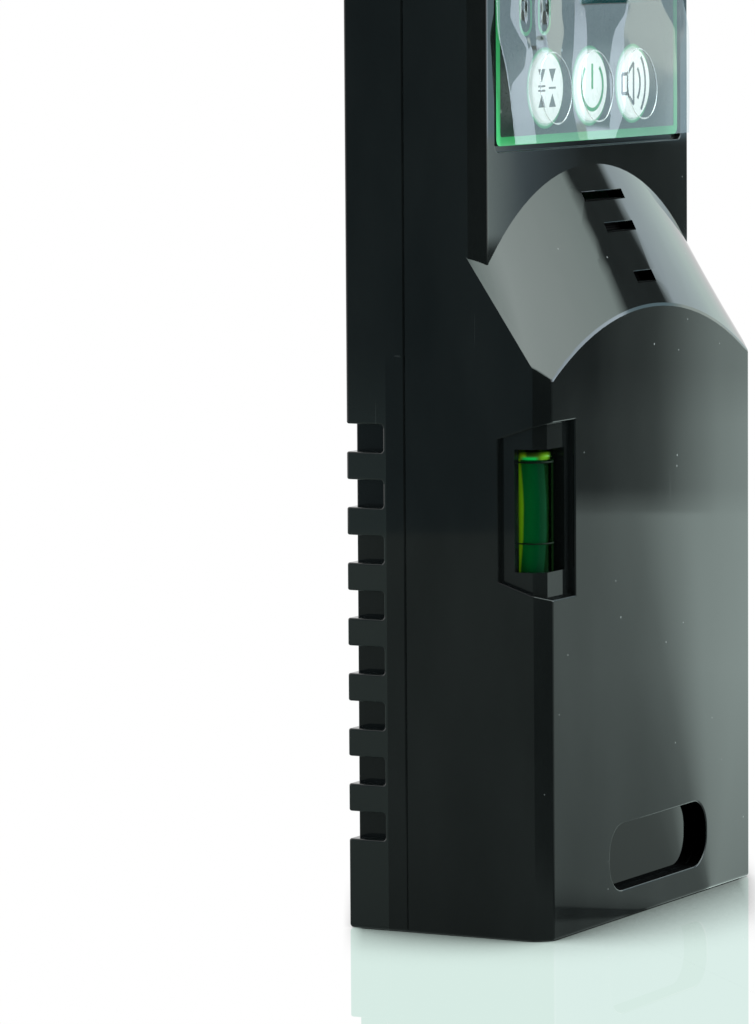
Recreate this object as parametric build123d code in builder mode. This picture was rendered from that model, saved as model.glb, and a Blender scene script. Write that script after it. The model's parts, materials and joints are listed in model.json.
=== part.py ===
from build123d import *
import os
from math import cos, radians, sqrt

# Laser receiver. Millimetres, +Z up. The origin is the middle of the base, the panel faces -Y.

os.makedirs("parts", exist_ok=True)

# Driving dimensions of the case
WIDTH = 70.8
DEPTH = 32.0
HEIGHT = 170.0
WALL = 2.2
EDGE = 2.2             # chamfer of the long front edges
SET_BACK = 10.1        # the upper front lies this far behind the lower front
REAR_DEPTH = 9.5       # depth of the rear shell
GAP = 0.15             # assembly clearance between neighbouring pieces
OVERRUN = 1.0          # how far a cutting form reaches past what it cuts
WELD = 0.5             # how far an added block reaches into the wall that carries it
SOFT_EDGE = 0.2        # round on the rims of openings

# Ramp between the two fronts: each end is an arch with its corners at the chamfers
LOW_ARCH_Z = 80.0
LOW_ARCH_RISE = 8.8
HIGH_ARCH_Z = 96.0
HIGH_ARCH_RISE = 13.2
RAMP_SLOPE = 63.0      # degrees above horizontal on the middle line

# Panel on the upper front
PANEL_HALF = 30.0
PANEL_LOW = 112.7
PANEL_HIGH = 166.0
PANEL_STEP = 0.8       # depth and margin of the recess around it
OVERLAY_THICK = 0.6
KEY_RADIUS = 5.1
KEY_PITCH = 14.5
KEY_Z = 120.6
KEY_TRAVEL = 0.4

# Faces along the depth
FRONT_Y = -DEPTH / 2
BACK_Y = DEPTH / 2
PANEL_Y = FRONT_Y + SET_BACK
PARTING_Y = BACK_Y - REAR_DEPTH
PANEL_FLOOR_Y = PANEL_Y + PANEL_STEP
INNER_PANEL_Y = PANEL_Y + WALL
INNER_FRONT_Y = FRONT_Y + WALL
INNER_BACK_Y = BACK_Y - WALL
OVERLAY_Y = PANEL_FLOOR_Y - OVERLAY_THICK
BOARD_Y = 1.5          # front face of the main board
BOARD_THICK = 1.6
BOARD_BACK_Y = BOARD_Y + BOARD_THICK
SIDE_X = WIDTH / 2
INNER_X = SIDE_X - WALL


def facing(y):
    """Plane at depth y whose axes are X and Z and whose normal points to the front."""
    return Plane.XZ.offset(-y)


def save(builder, name):
    """Labels a finished piece and writes it under its own name."""
    builder.part.label = name
    export_step(builder.part, f"parts/{name}.step")


TOUCH = 0.02           # how near a point has to be to count as lying on a face


def edges_where(builder, test):
    """Edges of a piece whose ends and middle all pass a test."""
    return [edge for edge in builder.edges() if all(test(edge @ place) for place in (0, 0.5, 1))]


# Case forms shared by the shells

ARCH_HALF = SIDE_X - EDGE
ARCH_REACH = SIDE_X + OVERRUN
RAMP_ENDS = (-0.1, 1.26)   # the ramp surface is carried past both fronts by these fractions
LIP = 1.15                 # thickness of the outer half of the stepped joint between the shells
LIP_DEPTH = 1.4


def plan_outline(front_y, back_y, inset):
    """Plan of the front shell at one level, with its chamfered front corners."""
    half = SIDE_X - inset
    edge = EDGE - inset * (2 - sqrt(2))
    return [
        (-half, back_y),
        (-half, front_y + inset + edge),
        (-half + edge, front_y + inset),
        (half - edge, front_y + inset),
        (half, front_y + inset + edge),
        (half, back_y),
    ]


def arch_section(fraction, drop):
    """Upright face below the ramp's arch, at a fraction of the way from the lower front to the panel."""
    corner = LOW_ARCH_Z + fraction * (HIGH_ARCH_Z - LOW_ARCH_Z) - drop
    rise = LOW_ARCH_RISE + fraction * (HIGH_ARCH_RISE - LOW_ARCH_RISE)
    radius = (ARCH_HALF**2 + rise**2) / (2 * rise)
    crown = corner + rise
    end = crown - radius + sqrt(radius**2 - ARCH_REACH**2)
    with BuildSketch(facing(FRONT_Y + fraction * SET_BACK)) as section:
        with BuildLine():
            ThreePointArc((-ARCH_REACH, end), (0, crown), (ARCH_REACH, end))
            Polyline(
                (ARCH_REACH, end), (ARCH_REACH, -OVERRUN), (-ARCH_REACH, -OVERRUN), (-ARCH_REACH, end)
            )
        make_face()
    return section.sketch


def case_form(inset, back_y):
    """Stepped block of the front shell, with every outer wall moved in by inset."""
    sections = [arch_section(fraction, inset / cos(radians(RAMP_SLOPE))) for fraction in RAMP_ENDS]
    with BuildPart() as form:
        with BuildSketch(Plane.XY.offset(inset)):
            with BuildLine():
                Polyline(*plan_outline(FRONT_Y, back_y, inset), close=True)
            make_face()
        extrude(amount=HIGH_ARCH_Z + HIGH_ARCH_RISE + EDGE)
        loft(sections, ruled=True, mode=Mode.INTERSECT)
        with BuildSketch(Plane.XY.offset(inset)):
            with BuildLine():
                Polyline(*plan_outline(PANEL_Y, back_y, inset), close=True)
            make_face()
        extrude(amount=HEIGHT - 2 * inset)
    return form.part


EDGE_ROUND = 0.6
END_ROUND = 0.5
ARCH_ROUND = 1.0
PARTING_BEVEL = 0.2


def off_the_parting(edge):
    """True for an edge that lies clear of the plane where the shells meet."""
    return edge.center().Y < PARTING_Y - OVERRUN


def on_the_low_arch(edge):
    """True for the edge between the lower front and the ramp."""
    middle = edge.center()
    return abs(middle.X) < TOUCH and LOW_ARCH_Z < middle.Z < HIGH_ARCH_Z


with BuildPart() as rounded_form:
    add(case_form(0, PARTING_Y))
    fillet(rounded_form.edges().filter_by(on_the_low_arch), ARCH_ROUND)
    fillet(rounded_form.edges().filter_by(Axis.Z).filter_by(off_the_parting), EDGE_ROUND)
    for end in (0, -1):
        fillet(rounded_form.edges().group_by(Axis.Z)[end].filter_by(off_the_parting), END_ROUND)
    chamfer(rounded_form.edges().group_by(Axis.Y)[-1], PARTING_BEVEL)

hollow_form = case_form(WALL, PARTING_Y + OVERRUN)

# Places of the fasteners

LOW_SCREWS = [(-27.0, 7.5), (27.0, 7.5)]
HIGH_SCREWS = [(-29.2, 163.6), (29.2, 163.6)]
CASE_SCREWS = LOW_SCREWS + HIGH_SCREWS
POST_RADIUS = 3.6
PILOT_RADIUS = 1.55
PILOT_FLOOR_Y = -2.6
BOARD_SCREWS = [(-28.7, 108.0), (28.7, 108.0), (-28.7, 156.0), (28.7, 156.0)]
BOSS_RADIUS = 2.4
BOARD_PILOT_RADIUS = 1.05
BOARD_PILOT_DEPTH = 4.2

# Places of the windows in the panel

DISPLAY_LOW = (-3.0, 132.5)
DISPLAY_SIZE = (27.0, 26.5)
DISPLAY_CENTER = (DISPLAY_LOW[0] + DISPLAY_SIZE[0] / 2, DISPLAY_LOW[1] + DISPLAY_SIZE[1] / 2)
SENSOR_CENTER = (-18.0, 149.0)
SENSOR_SIZE = (12.0, 24.0)
INDICATORS = [(-20.6, 131.4), (-14.6, 131.4)]
INDICATOR_SIZE = (5.4, 3.0)
KEY_PLACES = [(-KEY_PITCH, KEY_Z), (0, KEY_Z), (KEY_PITCH, KEY_Z)]
KEY_HOLE_RADIUS = KEY_RADIUS + 0.2   # the cap slides freely in its hole
WINDOW_ROUND = 1.0

# Sound slots in the ramp: middle x, middle z, length, height
SOUND_SLOTS = [(0.0, 104.65, 13.0, 1.1), (0.7, 100.1, 9.4, 1.1), (1.4, 92.85, 6.0, 1.4)]
SLOT_ROUND = 0.25
SLOT_EDGE = 0.15


def on_a_slot_mouth(point):
    """True where a sound slot opens on the ramp's outer surface."""
    low_crown = LOW_ARCH_Z + LOW_ARCH_RISE
    high_crown = HIGH_ARCH_Z + HIGH_ARCH_RISE
    ramp_y = FRONT_Y + SET_BACK * (point.Z - low_crown) / (high_crown - low_crown)
    in_a_slot = any(
        abs(point.X - x) < length / 2 + TOUCH and abs(point.Z - z) < height / 2 + TOUCH
        for x, z, length, height in SOUND_SLOTS
    )
    return in_a_slot and abs(point.Y - ramp_y) < WALL / 3


# Finger recess low on the front
RECESS_CENTER = (1.5, 9.0)
RECESS_SIZE = (33.0, 9.7)
RECESS_CORNER = 4.3
RECESS_DEPTH = 1.95
RECESS_PAD = (41.0, 14.3)
RECESS_ROUND = 0.25


def on_the_recess_rim(point):
    """True where the finger recess opens on the lower front."""
    near_x = abs(point.X - RECESS_CENTER[0]) < RECESS_SIZE[0] / 2 + TOUCH
    near_z = abs(point.Z - RECESS_CENTER[1]) < RECESS_SIZE[1] / 2 + TOUCH
    return near_x and near_z and abs(point.Y - FRONT_Y) < TOUCH


# Side vial in the left front edge: its pocket follows the corner of the case at POCKET_DEPTH
VIAL_RADIUS = 2.75
VIAL_BORE = 2.45
VIAL_HALF = 12.7
VIAL_FIT = 0.1             # clearance of the bores that hold the vials
VIAL_ASSEMBLY = 4.0        # extra length of those bores, to slide the vials in
SIDE_VIAL = (-30.1, -11.5, 61.3)
POCKET_DEPTH = 1.1
POCKET_BACK_Y = -8.35
POCKET_RIGHT_X = -25.9
POCKET_LOW = 48.7          # lower and upper end of the pocket where it meets the front
POCKET_HIGH = 74.0
POCKET_TAPER = 0.33        # the ends draw together by this much per millimetre towards the back
POCKET_OUT = 8.0           # how far the cutter reaches outside the case
CHAMBER_LOW = 52.6         # opening in the pocket's floor that shows the vial
CHAMBER_HIGH = 70.1
CHAMBER_BACK_Y = -10.5
CHAMBER_RIGHT_X = -27.3
CHAMBER_RADIUS = VIAL_RADIUS + 0.25

# Top vial, level when the receiver stands upright
TOP_POCKET = (26.0, 7.8)
TOP_POCKET_DEPTH = 1.7
TOP_WINDOW = (17.6, 5.0)
TOP_VIAL = (0.0, 0.7, HEIGHT - TOP_POCKET_DEPTH - VIAL_RADIUS - VIAL_FIT)

MARK_Z = SENSOR_CENTER[1]  # grooves at the height of the sensor's middle
MARK_WIDTH = 0.9
MARK_DEPTH = 0.4


def on_the_pocket_rim(point):
    """True where the side vial's pocket opens on the side, the chamfer or the front."""
    in_height = POCKET_LOW - TOUCH < point.Z < POCKET_HIGH + TOUCH
    in_plan = point.X < POCKET_RIGHT_X + TOUCH and point.Y < POCKET_BACK_Y + TOUCH
    on_a_flat = abs(point.X + SIDE_X) < TOUCH or abs(point.Y - FRONT_Y) < TOUCH
    off_the_chamfer = abs(point.X + SIDE_X + point.Y - FRONT_Y - EDGE)
    return in_height and in_plan and (on_a_flat or off_the_chamfer < EDGE_ROUND / 2)


def on_the_panel_rim(point):
    """True where the panel's recess opens on the upper front."""
    near_x = abs(point.X) < PANEL_HALF + PANEL_STEP + TOUCH
    near_z = PANEL_LOW - PANEL_STEP - TOUCH < point.Z < PANEL_HIGH + PANEL_STEP + TOUCH
    return near_x and near_z and abs(point.Y - PANEL_Y) < TOUCH


def on_the_top_rim(point):
    """True where the top vial's pocket opens on the top face."""
    near_x = abs(point.X - TOP_VIAL[0]) < TOP_POCKET[0] / 2 + TOUCH
    near_y = abs(point.Y - TOP_VIAL[1]) < TOP_POCKET[1] / 2 + TOUCH
    return near_x and near_y and abs(point.Z - HEIGHT) < TOUCH


with BuildPart() as pocket_cutter:
    floor_x = -SIDE_X + POCKET_DEPTH
    floor_y = FRONT_Y + POCKET_DEPTH
    floor_edge = EDGE - POCKET_DEPTH * (2 - sqrt(2))
    with BuildSketch():
        with BuildLine():
            Polyline(
                (floor_x, POCKET_BACK_Y),
                (floor_x, floor_y + floor_edge),
                (floor_x + floor_edge, floor_y),
                (POCKET_RIGHT_X, floor_y),
                (POCKET_RIGHT_X, FRONT_Y - POCKET_OUT),
                (-SIDE_X - POCKET_OUT, FRONT_Y - POCKET_OUT),
                (-SIDE_X - POCKET_OUT, POCKET_BACK_Y),
                close=True,
            )
        make_face()
    extrude(amount=HEIGHT)
    out_end = POCKET_TAPER * POCKET_OUT
    back_end = POCKET_TAPER * (POCKET_BACK_Y - FRONT_Y)
    with BuildSketch(Plane.YZ):
        with BuildLine():
            Polyline(
                (FRONT_Y - POCKET_OUT, POCKET_LOW - out_end),
                (FRONT_Y - POCKET_OUT, POCKET_HIGH + out_end),
                (POCKET_BACK_Y, POCKET_HIGH - back_end),
                (POCKET_BACK_Y, POCKET_LOW + back_end),
                close=True,
            )
        make_face()
    extrude(amount=-(SIDE_X + POCKET_OUT), mode=Mode.INTERSECT)

# Front shell

VIAL_BLOCK_LOW = 46.6
VIAL_BLOCK_HIGH = 75.6
VIAL_BLOCK_WALL = 1.6
TOP_BLOCK_HALF = 15.0
TOP_BLOCK_FLOOR = 1.2      # thickness left under the top vial
MARK_REACH = 4.0

with BuildPart() as front_shell:
    add(rounded_form.part)
    add(hollow_form, mode=Mode.SUBTRACT)

    # stepped edge that takes the rear shell's lip
    with BuildSketch(facing(PARTING_Y)):
        with Locations((0, HEIGHT / 2)):
            Rectangle(WIDTH - 2 * LIP, HEIGHT - 2 * LIP)
    extrude(amount=LIP_DEPTH, mode=Mode.SUBTRACT)

    # pads and posts inside
    with BuildSketch(facing(INNER_FRONT_Y + WALL)):
        with Locations(RECESS_CENTER):
            Rectangle(*RECESS_PAD)
    extrude(amount=WALL)
    for screws, wall_y in ((LOW_SCREWS, INNER_FRONT_Y), (HIGH_SCREWS, INNER_PANEL_Y)):
        with BuildSketch(facing(PARTING_Y - GAP)):
            with Locations(*screws):
                Circle(POST_RADIUS)
        extrude(amount=PARTING_Y - wall_y)
    with BuildSketch(facing(BOARD_Y)):
        with Locations(*BOARD_SCREWS):
            Circle(BOSS_RADIUS)
    extrude(amount=BOARD_Y - INNER_PANEL_Y + WELD)

    # block round the side vial, and block under the top vial
    with BuildSketch(Plane.XY.offset(VIAL_BLOCK_LOW)):
        with BuildLine():
            Polyline(
                (-INNER_X - WELD, POCKET_BACK_Y + VIAL_BLOCK_WALL),
                (-INNER_X - WELD, INNER_FRONT_Y),
                (-INNER_X + EDGE, INNER_FRONT_Y - WELD),
                (POCKET_RIGHT_X + VIAL_BLOCK_WALL, INNER_FRONT_Y - WELD),
                (POCKET_RIGHT_X + VIAL_BLOCK_WALL, POCKET_BACK_Y + VIAL_BLOCK_WALL),
                close=True,
            )
        make_face()
    extrude(amount=VIAL_BLOCK_HIGH - VIAL_BLOCK_LOW)
    with BuildSketch(Plane.XY.offset(HEIGHT - WALL)):
        with Locations((TOP_VIAL[0], (INNER_PANEL_Y + PARTING_Y - LIP_DEPTH) / 2)):
            Rectangle(2 * TOP_BLOCK_HALF, PARTING_Y - LIP_DEPTH - INNER_PANEL_Y)
    extrude(amount=-(HEIGHT - WALL - TOP_VIAL[2] + VIAL_RADIUS + TOP_BLOCK_FLOOR))

    # panel recess and the openings through its floor
    with BuildSketch(facing(PANEL_FLOOR_Y)):
        with Locations((0, (PANEL_LOW + PANEL_HIGH) / 2)):
            RectangleRounded(
                2 * (PANEL_HALF + PANEL_STEP), PANEL_HIGH - PANEL_LOW + 2 * PANEL_STEP, WINDOW_ROUND
            )
    extrude(amount=2 * PANEL_STEP, mode=Mode.SUBTRACT)
    with BuildSketch(facing(INNER_PANEL_Y)):
        with Locations(*KEY_PLACES):
            Circle(KEY_HOLE_RADIUS)
        with Locations(DISPLAY_CENTER):
            Rectangle(*DISPLAY_SIZE)
        with Locations(SENSOR_CENTER):
            RectangleRounded(*SENSOR_SIZE, WINDOW_ROUND)
        with Locations(*INDICATORS):
            SlotOverall(*INDICATOR_SIZE, rotation=90)
    extrude(amount=WALL, mode=Mode.SUBTRACT)

    # sound slots, cut straight back through the ramp
    with BuildSketch(facing(PANEL_Y + WALL)):
        for slot_x, slot_z, slot_length, slot_height in SOUND_SLOTS:
            with Locations((slot_x, slot_z)):
                RectangleRounded(slot_length, slot_height, SLOT_ROUND)
    extrude(amount=SET_BACK + WALL, mode=Mode.SUBTRACT)

    # finger recess
    with BuildSketch(facing(FRONT_Y)):
        with Locations(RECESS_CENTER):
            RectangleRounded(*RECESS_SIZE, RECESS_CORNER)
    extrude(amount=-RECESS_DEPTH, mode=Mode.SUBTRACT)

    # side vial: pocket, chamber and the bore that holds its ends
    add(pocket_cutter.part, mode=Mode.SUBTRACT)
    with BuildSketch(Plane.XY.offset(CHAMBER_LOW)):
        with BuildLine():
            Polyline(
                (-SIDE_X, CHAMBER_BACK_Y),
                (SIDE_VIAL[0], CHAMBER_BACK_Y),
                (CHAMBER_RIGHT_X, SIDE_VIAL[1]),
                (CHAMBER_RIGHT_X, FRONT_Y),
                (-SIDE_X, FRONT_Y),
                close=True,
            )
        make_face()
        with Locations(SIDE_VIAL[:2]):
            Circle(CHAMBER_RADIUS)
    extrude(amount=CHAMBER_HIGH - CHAMBER_LOW, mode=Mode.SUBTRACT)
    with BuildSketch(Plane.XY.offset(SIDE_VIAL[2] - VIAL_HALF - GAP)):
        with Locations(SIDE_VIAL[:2]):
            Circle(VIAL_RADIUS + VIAL_FIT)
    extrude(amount=2 * VIAL_HALF + VIAL_ASSEMBLY, mode=Mode.SUBTRACT)

    # top vial: pocket, window down to the vial and the bore that holds its ends
    with BuildSketch(Plane.XY.offset(HEIGHT)):
        with Locations(TOP_VIAL[:2]):
            RectangleRounded(*TOP_POCKET, WINDOW_ROUND)
    extrude(amount=-TOP_POCKET_DEPTH, mode=Mode.SUBTRACT)
    with BuildSketch(Plane.XY.offset(HEIGHT)):
        with Locations(TOP_VIAL[:2]):
            Rectangle(*TOP_WINDOW)
    extrude(amount=-(HEIGHT - TOP_VIAL[2]), mode=Mode.SUBTRACT)
    with BuildSketch(Plane.YZ.offset(-VIAL_HALF - GAP)):
        with Locations(TOP_VIAL[1:]):
            Circle(VIAL_RADIUS + VIAL_FIT)
    extrude(amount=2 * VIAL_HALF + VIAL_ASSEMBLY, mode=Mode.SUBTRACT)

    # pilot holes
    with BuildSketch(facing(PARTING_Y)):
        with Locations(*CASE_SCREWS):
            Circle(PILOT_RADIUS)
    extrude(amount=PARTING_Y - PILOT_FLOOR_Y, mode=Mode.SUBTRACT)
    with BuildSketch(facing(BOARD_Y)):
        with Locations(*BOARD_SCREWS):
            Circle(BOARD_PILOT_RADIUS)
    extrude(amount=BOARD_PILOT_DEPTH, mode=Mode.SUBTRACT)

    # sensor height marks on both sides
    with BuildSketch(Plane.XY.offset(MARK_Z)):
        with Locations((-SIDE_X, PARTING_Y - MARK_REACH), (SIDE_X, PARTING_Y - MARK_REACH)):
            Rectangle(2 * MARK_DEPTH, MARK_REACH)
    extrude(amount=MARK_WIDTH / 2, both=True, mode=Mode.SUBTRACT)

    # softened rims
    fillet(edges_where(front_shell, on_the_recess_rim), RECESS_ROUND)
    fillet(edges_where(front_shell, on_a_slot_mouth), SLOT_EDGE)
    for on_a_rim in (on_the_pocket_rim, on_the_panel_rim, on_the_top_rim):
        fillet(edges_where(front_shell, on_a_rim), SOFT_EDGE)

save(front_shell, "front_shell")

# Rear shell

GRIP_COUNT = 8
GRIP_PITCH = 8.0
GRIP_HEIGHT = 4.0
GRIP_LOW = 13.0            # bottom of the lowest notch
GRIP_DEPTH = 3.2
GRIP_LENGTH = 6.0          # length of a notch from the back face towards the front
GRIP_ROUND = 0.5
GRIP_EDGE = 0.3
GRIP_PAD = 5.0             # wall thickness behind the notches
BACK_ROUND = 0.5
LIP_SET_IN = 0.2           # the lip stands this far out from the inner wall

TRAY_HALF = 14.0           # battery tray inside the shell
TRAY_LOW = 12.5
TRAY_HIGH = 72.0
TRAY_FRONT_Y = -5.2
TRAY_WALL = 1.4

DOOR_HALF = 15.8
DOOR_LOW = 10.2
DOOR_HIGH = 74.0
DOOR_THICK = 2.0
DOOR_GAP = 0.2
DOOR_FRAME = 2.4           # width of the ledge and frame round the door
LEDGE_Y = BACK_Y - DOOR_THICK - GAP
HOOK_XS = (-8.5, 8.5)
HOOK_WIDTH = 5.0
HOOK_SLOT_Y = 11.4
HOOK_SLOT_HEIGHT = 5.2
SCOOP_RADIUS = 6.5
SCOOP_DEPTH = 1.4
LEAD_HOLE = (12.0, 5.0)
LEAD_HOLE_Y = 4.2
LEAD_HOLE_ROUND = 1.0

COUNTERBORE_RADIUS = 3.1
SCREW_SEAT_Y = 10.0
SCREW_HOLE_RADIUS = 1.7
TUBE_RADIUS = 4.4

CLAMP_Z = 100.0
INSERT_RADIUS = 5.0
INSERT_LENGTH = 9.4
THREAD_RADIUS = 3.175      # quarter inch camera thread
INSERT_SET_IN = 0.4
INSERT_FIT = 0.05
INSERT_BACK_Y = BACK_Y - INSERT_SET_IN
CLAMP_BOSS_RADIUS = 8.0
CLAMP_PAD_RADIUS = 14.0
CLAMP_PAD_DEPTH = 0.5

DOOR_MIDDLE_Z = (DOOR_LOW + DOOR_HIGH) / 2
DOOR_LENGTH = DOOR_HIGH - DOOR_LOW
TRAY_MIDDLE_Z = (TRAY_LOW + TRAY_HIGH) / 2
TRAY_LENGTH = TRAY_HIGH - TRAY_LOW
GRIP_SPAN = (GRIP_COUNT - 1) * GRIP_PITCH + GRIP_HEIGHT
GRIP_MIDDLE_Z = GRIP_LOW + GRIP_SPAN / 2


def on_a_notch_rim(point):
    """True where a grip notch opens on the side, on the back or on the round between them."""
    out_x = abs(point.X) - SIDE_X + BACK_ROUND
    out_y = point.Y - BACK_Y + BACK_ROUND
    in_height = abs(point.Z - GRIP_MIDDLE_Z) < GRIP_SPAN / 2 + TOUCH
    in_plan = point.Y > BACK_Y - GRIP_LENGTH - TOUCH and abs(point.X) > SIDE_X - GRIP_DEPTH - TOUCH
    on_a_flat = abs(out_x - BACK_ROUND) < TOUCH or abs(out_y - BACK_ROUND) < TOUCH
    on_the_round = min(out_x, out_y) > -TOUCH and abs(sqrt(out_x**2 + out_y**2) - BACK_ROUND) < TOUCH
    return in_height and in_plan and (on_a_flat or on_the_round)


def ends_a_rib(edge):
    """True unless an edge is one of the upright lines where the back round runs into the flats."""
    middle = edge.center()
    upright = abs((edge @ 1).Z - (edge @ 0).Z) > GRIP_HEIGHT / 4
    beside_round = abs(middle.Y - BACK_Y + BACK_ROUND) < TOUCH
    beside_flat = abs(abs(middle.X) - SIDE_X + BACK_ROUND) < TOUCH
    return not (upright and (beside_round or beside_flat))


def on_the_door_rim(point):
    """True where the door's seat and the scoop above it open on the back."""
    near_x = abs(point.X) < DOOR_HALF + DOOR_FRAME
    near_z = DOOR_LOW - DOOR_FRAME < point.Z < DOOR_HIGH + SCOOP_RADIUS + TOUCH
    return near_x and near_z and abs(point.Y - BACK_Y) < TOUCH


def on_a_round_rim(point):
    """True on the rims of the screw counterbores and of the clamp seat."""
    rims = [(x, z, COUNTERBORE_RADIUS) for x, z in CASE_SCREWS] + [(0, CLAMP_Z, CLAMP_PAD_RADIUS)]
    on_a_rim = any(
        abs(sqrt((point.X - x) ** 2 + (point.Z - z) ** 2) - radius) < TOUCH for x, z, radius in rims
    )
    return on_a_rim and abs(point.Y - BACK_Y) < TOUCH


with BuildPart() as rear_shell:
    with BuildSketch(facing(BACK_Y)):
        with Locations((0, HEIGHT / 2)):
            Rectangle(WIDTH, HEIGHT)
    extrude(amount=REAR_DEPTH)
    fillet(rear_shell.edges().filter_by(Axis.Y), EDGE_ROUND)
    fillet(rear_shell.edges().group_by(Axis.Y)[-1], BACK_ROUND)
    chamfer(rear_shell.edges().group_by(Axis.Y)[0], PARTING_BEVEL)

    # hollow inside, and the lip that enters the front shell
    with BuildSketch(facing(INNER_BACK_Y)):
        with Locations((0, HEIGHT / 2)):
            Rectangle(WIDTH - 2 * WALL, HEIGHT - 2 * WALL)
    extrude(amount=INNER_BACK_Y - PARTING_Y, mode=Mode.SUBTRACT)
    with BuildSketch(facing(PARTING_Y)):
        with Locations((0, HEIGHT / 2)):
            Rectangle(WIDTH - 2 * (LIP + GAP), HEIGHT - 2 * (LIP + GAP))
            Rectangle(
                WIDTH - 2 * (WALL + LIP_SET_IN), HEIGHT - 2 * (WALL + LIP_SET_IN), mode=Mode.SUBTRACT
            )
    extrude(amount=LIP_DEPTH - 2 * GAP)

    # thick walls behind the grips, the battery tray, screw tubes and clamp boss
    with BuildSketch(facing(INNER_BACK_Y)):
        for side in (-1, 1):
            with Locations((side * (SIDE_X - GRIP_PAD / 2 - WALL / 4), GRIP_MIDDLE_Z)):
                Rectangle(GRIP_PAD - WALL / 2, GRIP_SPAN + 2 * WALL)
    extrude(amount=INNER_BACK_Y - PARTING_Y)
    with BuildSketch(facing(INNER_BACK_Y)):
        with Locations((0, TRAY_MIDDLE_Z)):
            Rectangle(2 * (TRAY_HALF + TRAY_WALL), TRAY_LENGTH + 2 * TRAY_WALL)
    extrude(amount=INNER_BACK_Y - TRAY_FRONT_Y + TRAY_WALL)
    with BuildSketch(facing(BACK_Y - WALL / 2)):
        with Locations((0, DOOR_MIDDLE_Z)):
            Rectangle(2 * (DOOR_HALF + DOOR_FRAME), DOOR_LENGTH + 2 * DOOR_FRAME)
    extrude(amount=2 * WALL)
    with BuildSketch(facing(BACK_Y - WALL / 2)):
        with Locations(*CASE_SCREWS):
            Circle(TUBE_RADIUS)
    extrude(amount=REAR_DEPTH - WALL / 2)
    with BuildSketch(facing(BACK_Y - WALL / 2)):
        with Locations((0, CLAMP_Z)):
            Circle(CLAMP_BOSS_RADIUS)
    extrude(amount=INSERT_LENGTH + INSERT_SET_IN)

    # battery tray opening, door seat, slots for the door's hooks and a finger scoop above the door
    with BuildSketch(facing(BACK_Y)):
        with Locations((0, TRAY_MIDDLE_Z)):
            Rectangle(2 * TRAY_HALF, TRAY_LENGTH)
    extrude(amount=BACK_Y - TRAY_FRONT_Y, mode=Mode.SUBTRACT)
    with BuildSketch(facing(BACK_Y)):
        with Locations((0, DOOR_MIDDLE_Z)):
            Rectangle(2 * (DOOR_HALF + DOOR_GAP), DOOR_LENGTH + 2 * DOOR_GAP)
    extrude(amount=BACK_Y - LEDGE_Y, mode=Mode.SUBTRACT)
    with BuildSketch(facing(LEDGE_Y)):
        with Locations(*[(x, TRAY_LOW - WALL) for x in HOOK_XS]):
            Rectangle(HOOK_WIDTH + 2 * DOOR_GAP, HOOK_SLOT_HEIGHT)
    extrude(amount=LEDGE_Y - HOOK_SLOT_Y, mode=Mode.SUBTRACT)
    with BuildSketch(facing(BACK_Y)):
        with Locations((0, DOOR_HIGH)):
            Circle(SCOOP_RADIUS)
    extrude(amount=SCOOP_DEPTH, mode=Mode.SUBTRACT)

    # way for the battery leads through the top of the tray
    with BuildSketch(Plane.XY.offset(TRAY_HIGH - OVERRUN)):
        with Locations((0, LEAD_HOLE_Y)):
            RectangleRounded(*LEAD_HOLE, LEAD_HOLE_ROUND)
    extrude(amount=TRAY_WALL + 2 * OVERRUN, mode=Mode.SUBTRACT)

    # screw holes with deep counterbores
    with BuildSketch(facing(BACK_Y)):
        with Locations(*CASE_SCREWS):
            Circle(COUNTERBORE_RADIUS)
    extrude(amount=BACK_Y - SCREW_SEAT_Y, mode=Mode.SUBTRACT)
    with BuildSketch(facing(BACK_Y)):
        with Locations(*CASE_SCREWS):
            Circle(SCREW_HOLE_RADIUS)
    extrude(amount=REAR_DEPTH + LIP_DEPTH, mode=Mode.SUBTRACT)

    # clamp seat: a shallow round pad with the insert's hole
    with BuildSketch(facing(BACK_Y)):
        with Locations((0, CLAMP_Z)):
            Circle(CLAMP_PAD_RADIUS)
    extrude(amount=CLAMP_PAD_DEPTH, mode=Mode.SUBTRACT)
    with BuildSketch(facing(BACK_Y)):
        with Locations((0, CLAMP_Z)):
            Circle(INSERT_RADIUS + INSERT_FIT)
    extrude(amount=BACK_Y - INSERT_BACK_Y + INSERT_LENGTH, mode=Mode.SUBTRACT)

    # grip notches along both back edges
    notch_zs = [GRIP_LOW + GRIP_HEIGHT / 2 + GRIP_PITCH * index for index in range(GRIP_COUNT)]
    for side in (-1, 1):
        with BuildSketch(Plane.YZ.offset(side * (SIDE_X - GRIP_DEPTH))):
            with Locations(*[(BACK_Y, z) for z in notch_zs]):
                RectangleRounded(2 * GRIP_LENGTH, GRIP_HEIGHT, GRIP_ROUND)
        extrude(amount=side * 2 * GRIP_DEPTH, mode=Mode.SUBTRACT)

    # sensor height mark across the back
    with BuildSketch(facing(BACK_Y)):
        with Locations((0, MARK_Z)):
            Rectangle(WIDTH, MARK_WIDTH)
    extrude(amount=MARK_DEPTH, mode=Mode.SUBTRACT)

    # softened rims and rib ends
    notch_rims = [edge for edge in edges_where(rear_shell, on_a_notch_rim) if ends_a_rib(edge)]
    fillet(notch_rims, GRIP_EDGE)
    for on_a_rim in (on_the_door_rim, on_a_round_rim):
        fillet(edges_where(rear_shell, on_a_rim), SOFT_EDGE)

save(rear_shell, "rear_shell")

# Panel pieces: the printed overlay, its windows and the clear film over it

WINDOW_FIT = 0.1           # clearance round a window in its opening
WINDOW_BACK_Y = INNER_PANEL_Y - WINDOW_FIT / 2

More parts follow.
